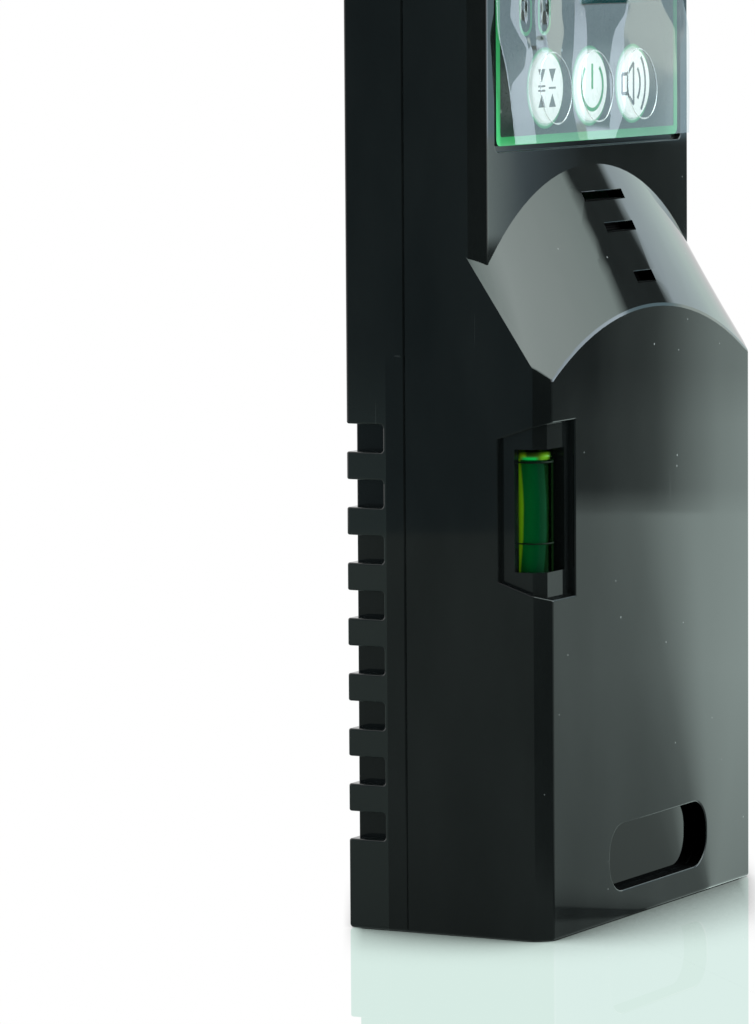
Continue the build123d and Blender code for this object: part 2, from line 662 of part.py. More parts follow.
with BuildPart() as keypad_overlay:
    with BuildSketch(facing(PANEL_FLOOR_Y)):
        with Locations((0, (PANEL_LOW + PANEL_HIGH) / 2)):
            RectangleRounded(2 * PANEL_HALF, PANEL_HIGH - PANEL_LOW, WINDOW_ROUND)
        with Locations(*KEY_PLACES):
            Circle(KEY_HOLE_RADIUS, mode=Mode.SUBTRACT)
        with Locations(DISPLAY_CENTER):
            Rectangle(*DISPLAY_SIZE, mode=Mode.SUBTRACT)
        with Locations(SENSOR_CENTER):
            RectangleRounded(*SENSOR_SIZE, WINDOW_ROUND, mode=Mode.SUBTRACT)
        with Locations(*INDICATORS):
            SlotOverall(*INDICATOR_SIZE, rotation=90, mode=Mode.SUBTRACT)
    extrude(amount=OVERLAY_THICK)
save(keypad_overlay, "keypad_overlay")

with BuildPart() as display_window:
    with BuildSketch(facing(WINDOW_BACK_Y)):
        with Locations(DISPLAY_CENTER):
            Rectangle(DISPLAY_SIZE[0] - 2 * WINDOW_FIT, DISPLAY_SIZE[1] - 2 * WINDOW_FIT)
    extrude(amount=WINDOW_BACK_Y - OVERLAY_Y)
save(display_window, "display_window")

with BuildPart() as sensor_window:
    with BuildSketch(facing(WINDOW_BACK_Y)):
        with Locations(SENSOR_CENTER):
            RectangleRounded(SENSOR_SIZE[0] - 2 * WINDOW_FIT, SENSOR_SIZE[1] - 2 * WINDOW_FIT, WINDOW_ROUND)
    extrude(amount=WINDOW_BACK_Y - OVERLAY_Y)
save(sensor_window, "sensor_window")

with BuildPart() as indicator_lenses:
    with BuildSketch(facing(WINDOW_BACK_Y)):
        with Locations(*INDICATORS):
            SlotOverall(INDICATOR_SIZE[0] - 2 * WINDOW_FIT, INDICATOR_SIZE[1] - 2 * WINDOW_FIT, rotation=90)
    extrude(amount=WINDOW_BACK_Y - OVERLAY_Y)
save(indicator_lenses, "indicator_lenses")

FILM_THICK = 0.15
FILM_MARGIN = 0.3
FILM_LIFT = 1.3            # the loose lower half stands this far off the overlay
FILM_BEND_Z = (138.0, 131.0)

with BuildPart() as protective_film:
    with BuildSketch(Plane.YZ.offset(-PANEL_HALF + FILM_MARGIN)):
        with BuildLine():
            film_points = [
                (OVERLAY_Y, PANEL_HIGH - FILM_MARGIN),
                (OVERLAY_Y, FILM_BEND_Z[0]),
                (OVERLAY_Y - FILM_LIFT, FILM_BEND_Z[1]),
                (OVERLAY_Y - FILM_LIFT, PANEL_LOW + FILM_MARGIN),
            ]
            Polyline(*film_points, *[(y - FILM_THICK, z) for y, z in reversed(film_points)], close=True)
        make_face()
    extrude(amount=2 * (PANEL_HALF - FILM_MARGIN))
save(protective_film, "protective_film")

# Keys: a round cap through the panel, and a flange behind it that presses a switch

KEY_PROUD = 0.5
KEY_FLANGE_RADIUS = 6.1
KEY_FLANGE_THICK = 0.7
KEY_FLANGE_Y = INNER_PANEL_Y + GAP + KEY_FLANGE_THICK
KEY_EDGE = 0.3
SWITCH_SIZE = 6.0
SWITCH_PLUNGER_HEIGHT = 0.6
SWITCH_PLUNGER_RADIUS = 1.7
SWITCH_PLUNGER_Y = KEY_FLANGE_Y + KEY_TRAVEL + GAP
SWITCH_BODY_Y = SWITCH_PLUNGER_Y + SWITCH_PLUNGER_HEIGHT

for key_name, key_place in zip(("key_resolution", "key_power", "key_sound"), KEY_PLACES):
    with BuildPart() as key:
        with BuildSketch(facing(KEY_FLANGE_Y)):
            with Locations(key_place):
                Circle(KEY_FLANGE_RADIUS)
        extrude(amount=KEY_FLANGE_THICK)
        with BuildSketch(facing(KEY_FLANGE_Y)):
            with Locations(key_place):
                Circle(KEY_RADIUS)
        extrude(amount=KEY_FLANGE_Y - OVERLAY_Y + KEY_PROUD)
        fillet(key.edges().group_by(Axis.Y)[0], KEY_EDGE)
    save(key, key_name)

with BuildPart() as key_switches:
    with BuildSketch(facing(BOARD_Y)):
        with Locations(*KEY_PLACES):
            Rectangle(SWITCH_SIZE, SWITCH_SIZE)
    extrude(amount=BOARD_Y - SWITCH_BODY_Y)
    with BuildSketch(facing(SWITCH_BODY_Y)):
        with Locations(*KEY_PLACES):
            Circle(SWITCH_PLUNGER_RADIUS)
    extrude(amount=SWITCH_BODY_Y - SWITCH_PLUNGER_Y)
save(key_switches, "key_switches")

# Main board and what it carries

BOARD_HALF = 31.0
BOARD_LOW = 80.0
BOARD_HIGH = 159.5
BOARD_CORNER = 2.0
BOARD_HOLE_RADIUS = 1.2

with BuildPart() as main_board:
    with BuildSketch(facing(BOARD_BACK_Y)):
        with Locations((0, (BOARD_LOW + BOARD_HIGH) / 2)):
            RectangleRounded(2 * BOARD_HALF, BOARD_HIGH - BOARD_LOW, BOARD_CORNER)
        with Locations(*BOARD_SCREWS):
            Circle(BOARD_HOLE_RADIUS, mode=Mode.SUBTRACT)
    extrude(amount=BOARD_THICK)
save(main_board, "main_board")

BOARD_SCREW_RADIUS = 1.0
BOARD_SCREW_HEAD = (1.9, 1.3)
BOARD_SCREW_LENGTH = 5.2

with BuildPart() as board_screws:
    with BuildSketch(facing(BOARD_BACK_Y)):
        with Locations(*BOARD_SCREWS):
            Circle(BOARD_SCREW_RADIUS)
    extrude(amount=BOARD_SCREW_LENGTH)
    with BuildSketch(facing(BOARD_BACK_Y + BOARD_SCREW_HEAD[1])):
        with Locations(*BOARD_SCREWS):
            Circle(BOARD_SCREW_HEAD[0])
    extrude(amount=BOARD_SCREW_HEAD[1])
save(board_screws, "board_screws")

LCD_MARGIN = 1.9
LCD_THICK = 2.8
LCD_FRONT_Y = INNER_PANEL_Y + 2 * GAP
LCD_BACK_Y = LCD_FRONT_Y + LCD_THICK
BACKLIGHT_LOW_Z = DISPLAY_LOW[1] + 1.0
CONTACT_STRIP_Z = DISPLAY_LOW[1] - 0.6
CONTACT_STRIP_HEIGHT = 1.8

with BuildPart() as lcd_panel:
    with BuildSketch(facing(LCD_BACK_Y)):
        with Locations(DISPLAY_CENTER):
            Rectangle(DISPLAY_SIZE[0] + 2 * LCD_MARGIN, DISPLAY_SIZE[1] + 2 * LCD_MARGIN)
    extrude(amount=LCD_BACK_Y - LCD_FRONT_Y)
save(lcd_panel, "lcd_panel")

with BuildPart() as lcd_backlight:
    backlight_top = DISPLAY_LOW[1] + DISPLAY_SIZE[1] - LCD_MARGIN
    with BuildSketch(facing(BOARD_Y)):
        with Locations((DISPLAY_CENTER[0], (BACKLIGHT_LOW_Z + backlight_top) / 2)):
            Rectangle(DISPLAY_SIZE[0] + LCD_MARGIN, backlight_top - BACKLIGHT_LOW_Z)
    extrude(amount=BOARD_Y - LCD_BACK_Y)
save(lcd_backlight, "lcd_backlight")

with BuildPart() as lcd_contact_strip:
    with BuildSketch(facing(BOARD_Y)):
        with Locations((DISPLAY_CENTER[0], CONTACT_STRIP_Z)):
            Rectangle(DISPLAY_SIZE[0], CONTACT_STRIP_HEIGHT)
    extrude(amount=BOARD_Y - LCD_BACK_Y)
save(lcd_contact_strip, "lcd_contact_strip")

DIODE_DROP = 2.0           # the row of diodes sits this far below the window's middle
DIODE_COUNT = 4
DIODE_PITCH = 5.4
DIODE_SIZE = (5.0, 4.6)
DIODE_THICK = 1.8

with BuildPart() as photodiodes:
    with BuildSketch(facing(BOARD_Y)):
        with Locations((SENSOR_CENTER[0], SENSOR_CENTER[1] - DIODE_DROP)):
            with GridLocations(0, DIODE_PITCH, 1, DIODE_COUNT):
                Rectangle(*DIODE_SIZE)
    extrude(amount=DIODE_THICK)
save(photodiodes, "photodiodes")

LED_RADIUS = 1.2
LED_DOME = 0.96
LED_FRONT_Y = WINDOW_BACK_Y + 4 * GAP

with BuildPart() as indicator_leds:
    with BuildSketch(facing(BOARD_Y)):
        with Locations(*INDICATORS):
            Circle(LED_RADIUS)
    extrude(amount=BOARD_Y - LED_FRONT_Y)
    fillet(indicator_leds.edges().group_by(Axis.Y)[0], LED_DOME)
save(indicator_leds, "indicator_leds")

CHIP_THICK = 1.3
CHIPS = [
    ("controller_chip", (2.0, 128.0), (10.0, 10.0)),
    ("amplifier_chip", (-18.0, 140.0), (5.0, 6.2)),
]

for chip_name, chip_place, chip_size in CHIPS:
    with BuildPart() as chip:
        with BuildSketch(facing(BOARD_BACK_Y + CHIP_THICK)):
            with Locations(chip_place):
                Rectangle(*chip_size)
        extrude(amount=CHIP_THICK)
    save(chip, chip_name)

BUZZER_Z = 94.0
BUZZER_RADIUS = 7.0
BUZZER_HEIGHT = 7.5
BUZZER_HOLE_RADIUS = 1.2
BUZZER_HOLE_DEPTH = 2.0
BUZZER_EDGE = 0.6

with BuildPart() as buzzer:
    with BuildSketch(facing(BOARD_Y)):
        with Locations((0, BUZZER_Z)):
            Circle(BUZZER_RADIUS)
    extrude(amount=BUZZER_HEIGHT)
    fillet(buzzer.edges().group_by(Axis.Y)[0], BUZZER_EDGE)
    with BuildSketch(facing(BOARD_Y - BUZZER_HEIGHT + BUZZER_HOLE_DEPTH)):
        with Locations((0, BUZZER_Z)):
            Circle(BUZZER_HOLE_RADIUS)
    extrude(amount=BUZZER_HOLE_DEPTH, mode=Mode.SUBTRACT)
save(buzzer, "buzzer")

# Dust screen that lines the ramp behind the sound slots

SCREEN_THICK = 0.4
SCREEN_GAP = 0.03          # room for the adhesive between the screen and the ramp
SCREEN_HALF = 8.4
SCREEN_SPAN = (89.6, 101.8)
SCREEN_BACK_Y = INNER_PANEL_Y - 1.2

screen_outer = case_form(WALL + SCREEN_GAP, PARTING_Y)
screen_inner = case_form(WALL + SCREEN_GAP + SCREEN_THICK, PARTING_Y)

with BuildPart() as buzzer_screen:
    with BuildSketch(facing(SCREEN_BACK_Y)):
        with Locations((0, sum(SCREEN_SPAN) / 2)):
            Rectangle(2 * SCREEN_HALF, SCREEN_SPAN[1] - SCREEN_SPAN[0])
    extrude(amount=SET_BACK)
    add(screen_outer, mode=Mode.INTERSECT)
    add(screen_inner, mode=Mode.SUBTRACT)
save(buzzer_screen, "buzzer_screen")

# Bubble vials: a clear capsule with green liquid, which leaves room for a bubble

LIQUID_GAP = 0.04
VIAL_CAP = 1.4             # solid length at each end of a vial
VIAL_EDGE = 0.4
LIQUID_HALF = VIAL_HALF - VIAL_CAP
BUBBLE_LENGTH = 4.2
BUBBLE_RADIUS = 1.25

with BuildPart() as side_vial:
    with BuildSketch(Plane.XY.offset(SIDE_VIAL[2] - VIAL_HALF)):
        with Locations(SIDE_VIAL[:2]):
            Circle(VIAL_RADIUS)
    extrude(amount=2 * VIAL_HALF)
    fillet(side_vial.edges(), VIAL_EDGE)
    with BuildSketch(Plane.XY.offset(SIDE_VIAL[2] - LIQUID_HALF)):
        with Locations(SIDE_VIAL[:2]):
            Circle(VIAL_BORE)
    extrude(amount=2 * LIQUID_HALF, mode=Mode.SUBTRACT)
save(side_vial, "side_vial")

with BuildPart() as side_vial_liquid:
    with BuildSketch(Plane.XY.offset(SIDE_VIAL[2] - LIQUID_HALF + LIQUID_GAP)):
        with Locations(SIDE_VIAL[:2]):
            Circle(VIAL_BORE - LIQUID_GAP)
    extrude(amount=2 * LIQUID_HALF - BUBBLE_LENGTH)
save(side_vial_liquid, "side_vial_liquid")

with BuildPart() as top_vial:
    with BuildSketch(Plane.YZ.offset(TOP_VIAL[0] - VIAL_HALF)):
        with Locations(TOP_VIAL[1:]):
            Circle(VIAL_RADIUS)
    extrude(amount=2 * VIAL_HALF)
    fillet(top_vial.edges(), VIAL_EDGE)
    with BuildSketch(Plane.YZ.offset(TOP_VIAL[0] - LIQUID_HALF)):
        with Locations(TOP_VIAL[1:]):
            Circle(VIAL_BORE)
    extrude(amount=2 * LIQUID_HALF, mode=Mode.SUBTRACT)
save(top_vial, "top_vial")

with BuildPart() as top_vial_liquid:
    with BuildSketch(Plane.YZ.offset(TOP_VIAL[0] - LIQUID_HALF + LIQUID_GAP)):
        with Locations(TOP_VIAL[1:]):
            Circle(VIAL_BORE - LIQUID_GAP)
    extrude(amount=2 * (LIQUID_HALF - LIQUID_GAP))
    bubble_z = TOP_VIAL[2] + VIAL_BORE - BUBBLE_RADIUS / 2
    with BuildSketch(Plane.XZ.offset(-TOP_VIAL[1])):
        with Locations((TOP_VIAL[0], bubble_z)):
            SlotOverall(2 * BUBBLE_LENGTH, 2 * BUBBLE_RADIUS)
        with Locations((TOP_VIAL[0], bubble_z - BUBBLE_LENGTH)):
            Rectangle(4 * BUBBLE_LENGTH, 2 * BUBBLE_LENGTH, mode=Mode.SUBTRACT)
    revolve(axis=Axis((0, TOP_VIAL[1], bubble_z), (1, 0, 0)), mode=Mode.SUBTRACT)
save(top_vial_liquid, "top_vial_liquid")

# Battery: a 9 V block with its two snap studs, the snap cap and its leads

BATTERY_SIZE = (26.5, 17.5, 46.4)
BATTERY_CORNER = 2.0
BATTERY_MIDDLE_Y = 4.2
BATTERY_LOW = 16.0
BATTERY_HIGH = BATTERY_LOW + BATTERY_SIZE[2]
STUD_SPACING = 12.7
STUD_RADII = (2.85, 3.9)
STUD_HEIGHT = 2.1
SNAP_SIZE = (25.0, 12.5)
SNAP_HEIGHT = 5.0
SNAP_FIT = 0.1             # clearance of the snap's sockets round the studs

with BuildPart() as battery:
    with BuildSketch(Plane.XY.offset(BATTERY_LOW)):
        with Locations((0, BATTERY_MIDDLE_Y)):
            RectangleRounded(BATTERY_SIZE[0], BATTERY_SIZE[1], BATTERY_CORNER)
    extrude(amount=BATTERY_SIZE[2])
    for stud_side, stud_radius in zip((-1, 1), STUD_RADII):
        with BuildSketch(Plane.XY.offset(BATTERY_HIGH)):
            with Locations((stud_side * STUD_SPACING / 2, BATTERY_MIDDLE_Y)):
                Circle(stud_radius)
        extrude(amount=STUD_HEIGHT)
save(battery, "battery")

with BuildPart() as battery_snap:
    with BuildSketch(Plane.XY.offset(BATTERY_HIGH + GAP)):
        with Locations((0, BATTERY_MIDDLE_Y)):
            RectangleRounded(*SNAP_SIZE, BATTERY_CORNER)
    extrude(amount=SNAP_HEIGHT)
    for stud_side, stud_radius in zip((-1, 1), STUD_RADII):
        with BuildSketch(Plane.XY.offset(BATTERY_HIGH)):
            with Locations((stud_side * STUD_SPACING / 2, BATTERY_MIDDLE_Y)):
                Circle(stud_radius + SNAP_FIT)
        extrude(amount=STUD_HEIGHT + 2 * SNAP_FIT, mode=Mode.SUBTRACT)
save(battery_snap, "battery_snap")

LEAD_RADIUS = 0.6
LEAD_BEND = 7.0
LEAD_START_Z = BATTERY_HIGH + GAP + SNAP_HEIGHT
LEAD_PAD_Y = BOARD_BACK_Y + LEAD_RADIUS + TOUCH
LEAD_ROUTE = [             # distance from the middle, depth, and height above the snap
    (2.4, BATTERY_MIDDLE_Y, 0),
    (2.4, BATTERY_MIDDLE_Y + 0.3, 5),
    (4.4, BATTERY_MIDDLE_Y + 1.1, 11),
    (7.4, LEAD_PAD_Y, 17),
    (8.2, LEAD_PAD_Y, 22),
]

for lead_name, lead_side in (("battery_lead_red", -1), ("battery_lead_black", 1)):
    lead_points = [(lead_side * out, y, LEAD_START_Z + up) for out, y, up in LEAD_ROUTE]
    with BuildPart() as lead:
        with BuildLine() as lead_path:
            FilletPolyline(*lead_points, radius=LEAD_BEND)
        with BuildSketch(Plane(origin=lead_path.wire() @ 0, z_dir=lead_path.wire() % 0)):
            Circle(LEAD_RADIUS)
        sweep()
    print(lead_name, "length", round(lead_path.wire().length, 2), "volume", round(lead.part.volume, 2))
    save(lead, lead_name)

# Battery door: a plate that tilts out about its bottom edge, with two hooks, grip grooves and a foam pad

HOOK_Y = (12.4, 13.7)
HOOK_FOOT = 2.2            # how far a hook reaches below the door
HOOK_NECK = (0.4, 2.0)     # where its neck leaves the door, above the door's lower edge
DOOR_EDGE = 0.4
GROOVE_COUNT = 5
GROOVE_PITCH = 2.0
GROOVE_SIZE = (14.0, 1.0)
GROOVE_DEPTH = 0.5
GROOVE_DROP = 9.0          # middle of the grooves below the door's upper edge
PAD_SIZE = (18.0, 26.0)
PAD_THICK = 0.9
PAD_CORNER = 2.0


def on_the_door_outline(point):
    """True on the outer edge of the door's back face."""
    on_an_end = min(abs(point.Z - DOOR_LOW), abs(point.Z - DOOR_HIGH)) < TOUCH
    on_a_side = abs(abs(point.X) - DOOR_HALF) < TOUCH
    return (on_an_end or on_a_side) and abs(point.Y - BACK_Y) < TOUCH


with BuildPart() as battery_door:
    with BuildSketch(facing(BACK_Y)):
        with Locations((0, DOOR_MIDDLE_Z)):
            Rectangle(2 * DOOR_HALF, DOOR_LENGTH)
    extrude(amount=DOOR_THICK)
    for hook_x in HOOK_XS:
        with BuildSketch(Plane.YZ.offset(hook_x - HOOK_WIDTH / 2)):
            with BuildLine():
                Polyline(
                    (BACK_Y - DOOR_THICK, DOOR_LOW + HOOK_NECK[0]),
                    (HOOK_Y[1], DOOR_LOW + HOOK_NECK[0]),
                    (HOOK_Y[1], DOOR_LOW - HOOK_FOOT),
                    (HOOK_Y[0], DOOR_LOW - HOOK_FOOT),
                    (HOOK_Y[0], DOOR_LOW + HOOK_NECK[1]),
                    (BACK_Y - DOOR_THICK, DOOR_LOW + HOOK_NECK[1]),
                    close=True,
                )
            make_face()
        extrude(amount=HOOK_WIDTH)
    with BuildSketch(facing(BACK_Y)):
        with Locations((0, DOOR_HIGH - GROOVE_DROP)):
            with GridLocations(0, GROOVE_PITCH, 1, GROOVE_COUNT):
                SlotOverall(*GROOVE_SIZE)
    extrude(amount=GROOVE_DEPTH, mode=Mode.SUBTRACT)
    fillet(edges_where(battery_door, on_the_door_outline), DOOR_EDGE)
save(battery_door, "battery_door")

with BuildPart() as battery_pad:
    with BuildSketch(facing(BACK_Y - DOOR_THICK)):
        with Locations((0, BATTERY_LOW + BATTERY_SIZE[2] / 2)):
            RectangleRounded(*PAD_SIZE, PAD_CORNER)
    extrude(amount=PAD_THICK)
save(battery_pad, "battery_pad")

# Clamp insert with its internal thread's bore, and the case screws

with BuildPart() as clamp_insert:
    with BuildSketch(facing(INSERT_BACK_Y)):
        with Locations((0, CLAMP_Z)):
            Circle(INSERT_RADIUS)
            Circle(THREAD_RADIUS, mode=Mode.SUBTRACT)
    extrude(amount=INSERT_LENGTH)
save(clamp_insert, "clamp_insert")

SCREW_RADIUS = 1.5
SCREW_HEAD_RADIUS = 2.8
SCREW_HEAD_HEIGHT = 2.1
SCREW_LENGTH = 12.0
DRIVE_SLOT = (3.4, 0.8)
DRIVE_DEPTH = 1.2

with BuildPart() as case_screws:
    with BuildSketch(facing(SCREW_SEAT_Y)):
        with Locations(*CASE_SCREWS):
            Circle(SCREW_RADIUS)
    extrude(amount=SCREW_LENGTH)
    with BuildSketch(facing(SCREW_SEAT_Y + SCREW_HEAD_HEIGHT)):
        with Locations(*CASE_SCREWS):
            Circle(SCREW_HEAD_RADIUS)
    extrude(amount=SCREW_HEAD_HEIGHT)
    with BuildSketch(facing(SCREW_SEAT_Y + SCREW_HEAD_HEIGHT)):
        with Locations(*CASE_SCREWS):
            Rectangle(*DRIVE_SLOT)
            Rectangle(*DRIVE_SLOT, rotation=90)
    extrude(amount=DRIVE_DEPTH, mode=Mode.SUBTRACT)
save(case_screws, "case_screws")
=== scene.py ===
import json
import math
import random

import bmesh
import bpy
from mathutils import Matrix, Vector


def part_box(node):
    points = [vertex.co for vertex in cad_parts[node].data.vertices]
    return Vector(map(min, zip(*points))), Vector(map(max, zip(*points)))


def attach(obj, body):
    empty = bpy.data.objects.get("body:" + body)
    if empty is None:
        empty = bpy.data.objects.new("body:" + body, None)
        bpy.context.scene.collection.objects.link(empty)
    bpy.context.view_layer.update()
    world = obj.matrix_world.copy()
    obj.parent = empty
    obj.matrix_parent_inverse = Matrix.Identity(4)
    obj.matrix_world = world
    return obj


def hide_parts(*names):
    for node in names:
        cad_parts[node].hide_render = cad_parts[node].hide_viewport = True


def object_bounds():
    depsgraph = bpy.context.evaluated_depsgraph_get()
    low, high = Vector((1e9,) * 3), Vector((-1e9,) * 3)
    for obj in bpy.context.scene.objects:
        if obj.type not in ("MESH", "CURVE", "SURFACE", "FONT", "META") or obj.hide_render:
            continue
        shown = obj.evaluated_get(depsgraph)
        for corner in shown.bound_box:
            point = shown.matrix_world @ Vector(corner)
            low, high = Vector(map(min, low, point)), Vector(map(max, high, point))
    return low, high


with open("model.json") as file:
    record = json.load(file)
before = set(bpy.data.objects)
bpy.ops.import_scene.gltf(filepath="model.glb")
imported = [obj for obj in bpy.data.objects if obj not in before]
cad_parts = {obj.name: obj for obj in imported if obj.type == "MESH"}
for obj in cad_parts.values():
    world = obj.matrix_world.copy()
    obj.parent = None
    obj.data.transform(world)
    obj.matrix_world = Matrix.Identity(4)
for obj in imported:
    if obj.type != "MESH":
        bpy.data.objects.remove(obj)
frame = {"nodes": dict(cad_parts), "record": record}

# Looks of a laser receiver. Metres, +Z up, the panel faces -Y. Shapes below are drawn in millimetres.

MM = 0.001
CAD_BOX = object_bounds()
CAD_LOW, CAD_HIGH = CAD_BOX
NODES = frame["nodes"]
SLOTS = {part["node"]: part["material_slot"] for part in frame["record"]["subparts"]}
SCENE = bpy.context.scene


def in_mm(node):
    """Lowest and highest corner of a CAD node, in millimetres."""
    low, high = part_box(node)
    return low / MM, high / MM


def between(first, last, share):
    """Value part of the way from one value to another."""
    return first + (last - first) * share


# Camera: the photograph's own viewing angle

CAMERA_TURN = -61.87
CAMERA_TILT = 5.42
CAMERA_ROLL = -0.39
CAMERA_DISTANCE = 0.832
CAMERA_TARGET = Vector((-0.0558, 0.0, 0.06267))
CAMERA_LENS = 210.1
CAMERA_NEAREST = 0.01

turn, tilt, roll = (math.radians(angle) for angle in (CAMERA_TURN, CAMERA_TILT, CAMERA_ROLL))
VIEW_BACK = Vector((math.sin(turn) * math.cos(tilt), -math.cos(turn) * math.cos(tilt), math.sin(tilt)))
VIEW_RIGHT = Vector((math.cos(turn), math.sin(turn), 0))
view_up = VIEW_BACK.cross(VIEW_RIGHT)
camera_right = VIEW_RIGHT * math.cos(roll) + view_up * math.sin(roll)
camera_up = view_up * math.cos(roll) - VIEW_RIGHT * math.sin(roll)

camera_data = bpy.data.cameras.new("camera")
camera_data.lens = CAMERA_LENS
camera_data.clip_start = CAMERA_NEAREST
camera = bpy.data.objects.new("camera", camera_data)
SCENE.collection.objects.link(camera)
camera_axes = Matrix((camera_right, camera_up, VIEW_BACK)).transposed().to_4x4()
camera.matrix_world = Matrix.Translation(CAMERA_TARGET + VIEW_BACK * CAMERA_DISTANCE) @ camera_axes
SCENE.camera = camera
SCENE.view_settings.view_transform = "Standard"

# Shader helpers: one that is given a value finds the node tree through it


def feed(node, inputs):
    """Sets a node's inputs, by name or number, to plain values or to the outputs that feed them.

    A plain colour is given as three linear values.
    """
    for name, value in inputs.items():
        socket = node.inputs[name]
        if isinstance(value, bpy.types.NodeSocket):
            node.id_data.links.new(value, socket)
        else:
            socket.default_value = (*value, 1.0) if socket.type == "RGBA" else value


def put(tree, kind, inputs=None, **settings):
    """Adds a node to a tree."""
    node = tree.nodes.new("ShaderNode" + kind)
    for name, value in settings.items():
        setattr(node, name, value)
    feed(node, inputs or {})
    return node


def new_material(name, **values):
    """A node material with some plain shader values; returns the material, its tree and its shader."""
    material = bpy.data.materials.new(name)
    material.use_nodes = True
    shader = material.node_tree.nodes["Principled BSDF"]
    feed(shader, {socket.replace("_", " "): value for socket, value in values.items()})
    return material, material.node_tree, shader


def show(tree, surface):
    """Makes a shader the one that a material shows."""
    feed(tree.nodes["Material Output"], {"Surface": surface})


def here(tree):
    """Object coordinates, which are metres in the frame."""
    return put(tree, "TexCoord").outputs["Object"]


def axes(tree):
    """Object coordinates as the outputs X, Y and Z."""
    return put(tree, "SeparateXYZ", {"Vector": here(tree)}).outputs


def noise(tree, scale, detail=3.0, roughness=0.55, stretch=(1, 1, 1)):
    """Fractal noise from 0 to 1, over coordinates that a stretch multiplies along each axis."""
    spot = put(tree, "Mapping", {"Vector": here(tree), "Scale": stretch}).outputs["Vector"]
    inputs = {"Vector": spot, "Scale": scale, "Detail": detail, "Roughness": roughness}
    return put(tree, "TexNoise", inputs).outputs["Fac"]


def stripes(tree, scale, axis="X"):
    """Soft stripes across an axis, from 0 to 1."""
    wave = {"Vector": here(tree), "Scale": scale}
    return put(tree, "TexWave", wave, wave_type="BANDS", bands_direction=axis).outputs["Fac"]


def spread(value, low, high, start=0.0, end=1.0):
    """Maps a value from start to end onto low to high, clamped."""
    inputs = {"Value": value, "From Min": start, "From Max": end, "To Min": low, "To Max": high}
    return put(value.id_data, "MapRange", inputs).outputs["Result"]


def math_node(operation, first, *others):
    """A value joined by one operation to each of the others in turn."""
    for other in others:
        first = put(first.id_data, "Math", {0: first, 1: other}, operation=operation).outputs["Value"]
    return first


def plus(*values):
    """Sum of values."""
    return math_node("ADD", *values)


def times(*values):
    """Product of values."""
    return math_node("MULTIPLY", *values)


def larger(*values):
    """Largest of some values."""
    return math_node("MAXIMUM", *values)


def blend(factor, first, second):
    """A colour between two colours."""
    return put(factor.id_data, "Mix", {0: factor, 6: first, 7: second}, data_type="RGBA").outputs[2]


def colour_ramp(value, stops):
    """Colours at given values, with straight changes between them."""
    ramp = put(value.id_data, "ValToRGB", {"Fac": value})
    elements = ramp.color_ramp.elements
    while len(elements) < len(stops):
        elements.new(0.5)
    for element, (position, colour) in zip(elements, stops):
        element.position = position
        element.color = (*colour, 1.0)
    return ramp.outputs["Color"]


def bump(shader, height, depth, strength):
    """Feeds a height, in units of depth metres, to a shader's normal."""
    node = put(shader.id_data, "Bump", {"Height": height, "Distance": depth, "Strength": strength})
    feed(shader, {"Normal": node.outputs["Normal"]})


def specks(tree, scale, size, share):
    """Mask of small scattered dots: size is a dot's part of its cell, share the part of cells with a dot."""
    cells = put(tree, "TexVoronoi", {"Vector": here(tree), "Scale": scale}).outputs
    near = spread(cells["Distance"], 1, 0, size * 0.6, size)
    chosen = put(tree, "SeparateColor", {"Color": cells["Color"]}).outputs["Red"]
    return times(near, math_node("LESS_THAN", chosen, share))


def scratches(tree, stretch, scale, share):
    """Mask of fine lines, drawn from noise that is stretched along one axis."""
    return spread(noise(tree, scale, 2.0, 0.4, stretch), 0, 1, 1 - share, 1 - share + 0.02)


def inside(tree, low, high):
    """Mask of the space between two corners, in object coordinates."""
    spot = axes(tree)
    tests = []
    for axis, least, most in zip("XYZ", low, high):
        tests.append(math_node("GREATER_THAN", spot[axis], least))
        tests.append(math_node("LESS_THAN", spot[axis], most))
    return times(*tests)


BLACK = (0.0, 0.0, 0.0)
WHITE = (1.0, 1.0, 1.0)
LOOKS = {}


def look(**values):
    """Keeps a new material, which the function below it wires, as the look of the slot it is named after."""

    def keep(wire):
        material, tree, shader = new_material(wire.__name__, **values)
        wire(tree, shader)
        LOOKS[wire.__name__] = material
        return wire

    return keep


# Case and panel materials

DUST = (0.30, 0.33, 0.33)
# The walls of the finger recess low on the front, between its rounded rim and its floor, painted black as
# shade
RECESS_LOW = Vector((-0.0153, CAD_LOW.y + 0.00014, 0.0038))
RECESS_HIGH = Vector((0.0183, CAD_LOW.y + 0.00194, 0.0142))
RECESS_FLOOR = Vector((0, 0.0003, 0))     # this much deeper takes in its floor
# The sound slots in the ramp with their rounded edges, painted black as shade: middle, half length and half
# height across X and Z
SOUND_SLOTS = (
    (0.0, 0.10465, 0.00665, 0.0007),
    (0.0007, 0.1001, 0.00485, 0.0007),
    (0.0014, 0.09285, 0.00315, 0.00085),
)
# The finger grips on both edges of the back half, whose outer faces carry a painted sheen, less towards the
# uppermost
GRIP_LOW = (CAD_HIGH.x - 0.0005, 0.0095, 0.0)
GRIP_HIGH = (CAD_HIGH.x + 0.001, CAD_HIGH.y - 0.0003, 0.085)
SHEEN_FADE = 0.068     # height from which the painted sheen fades
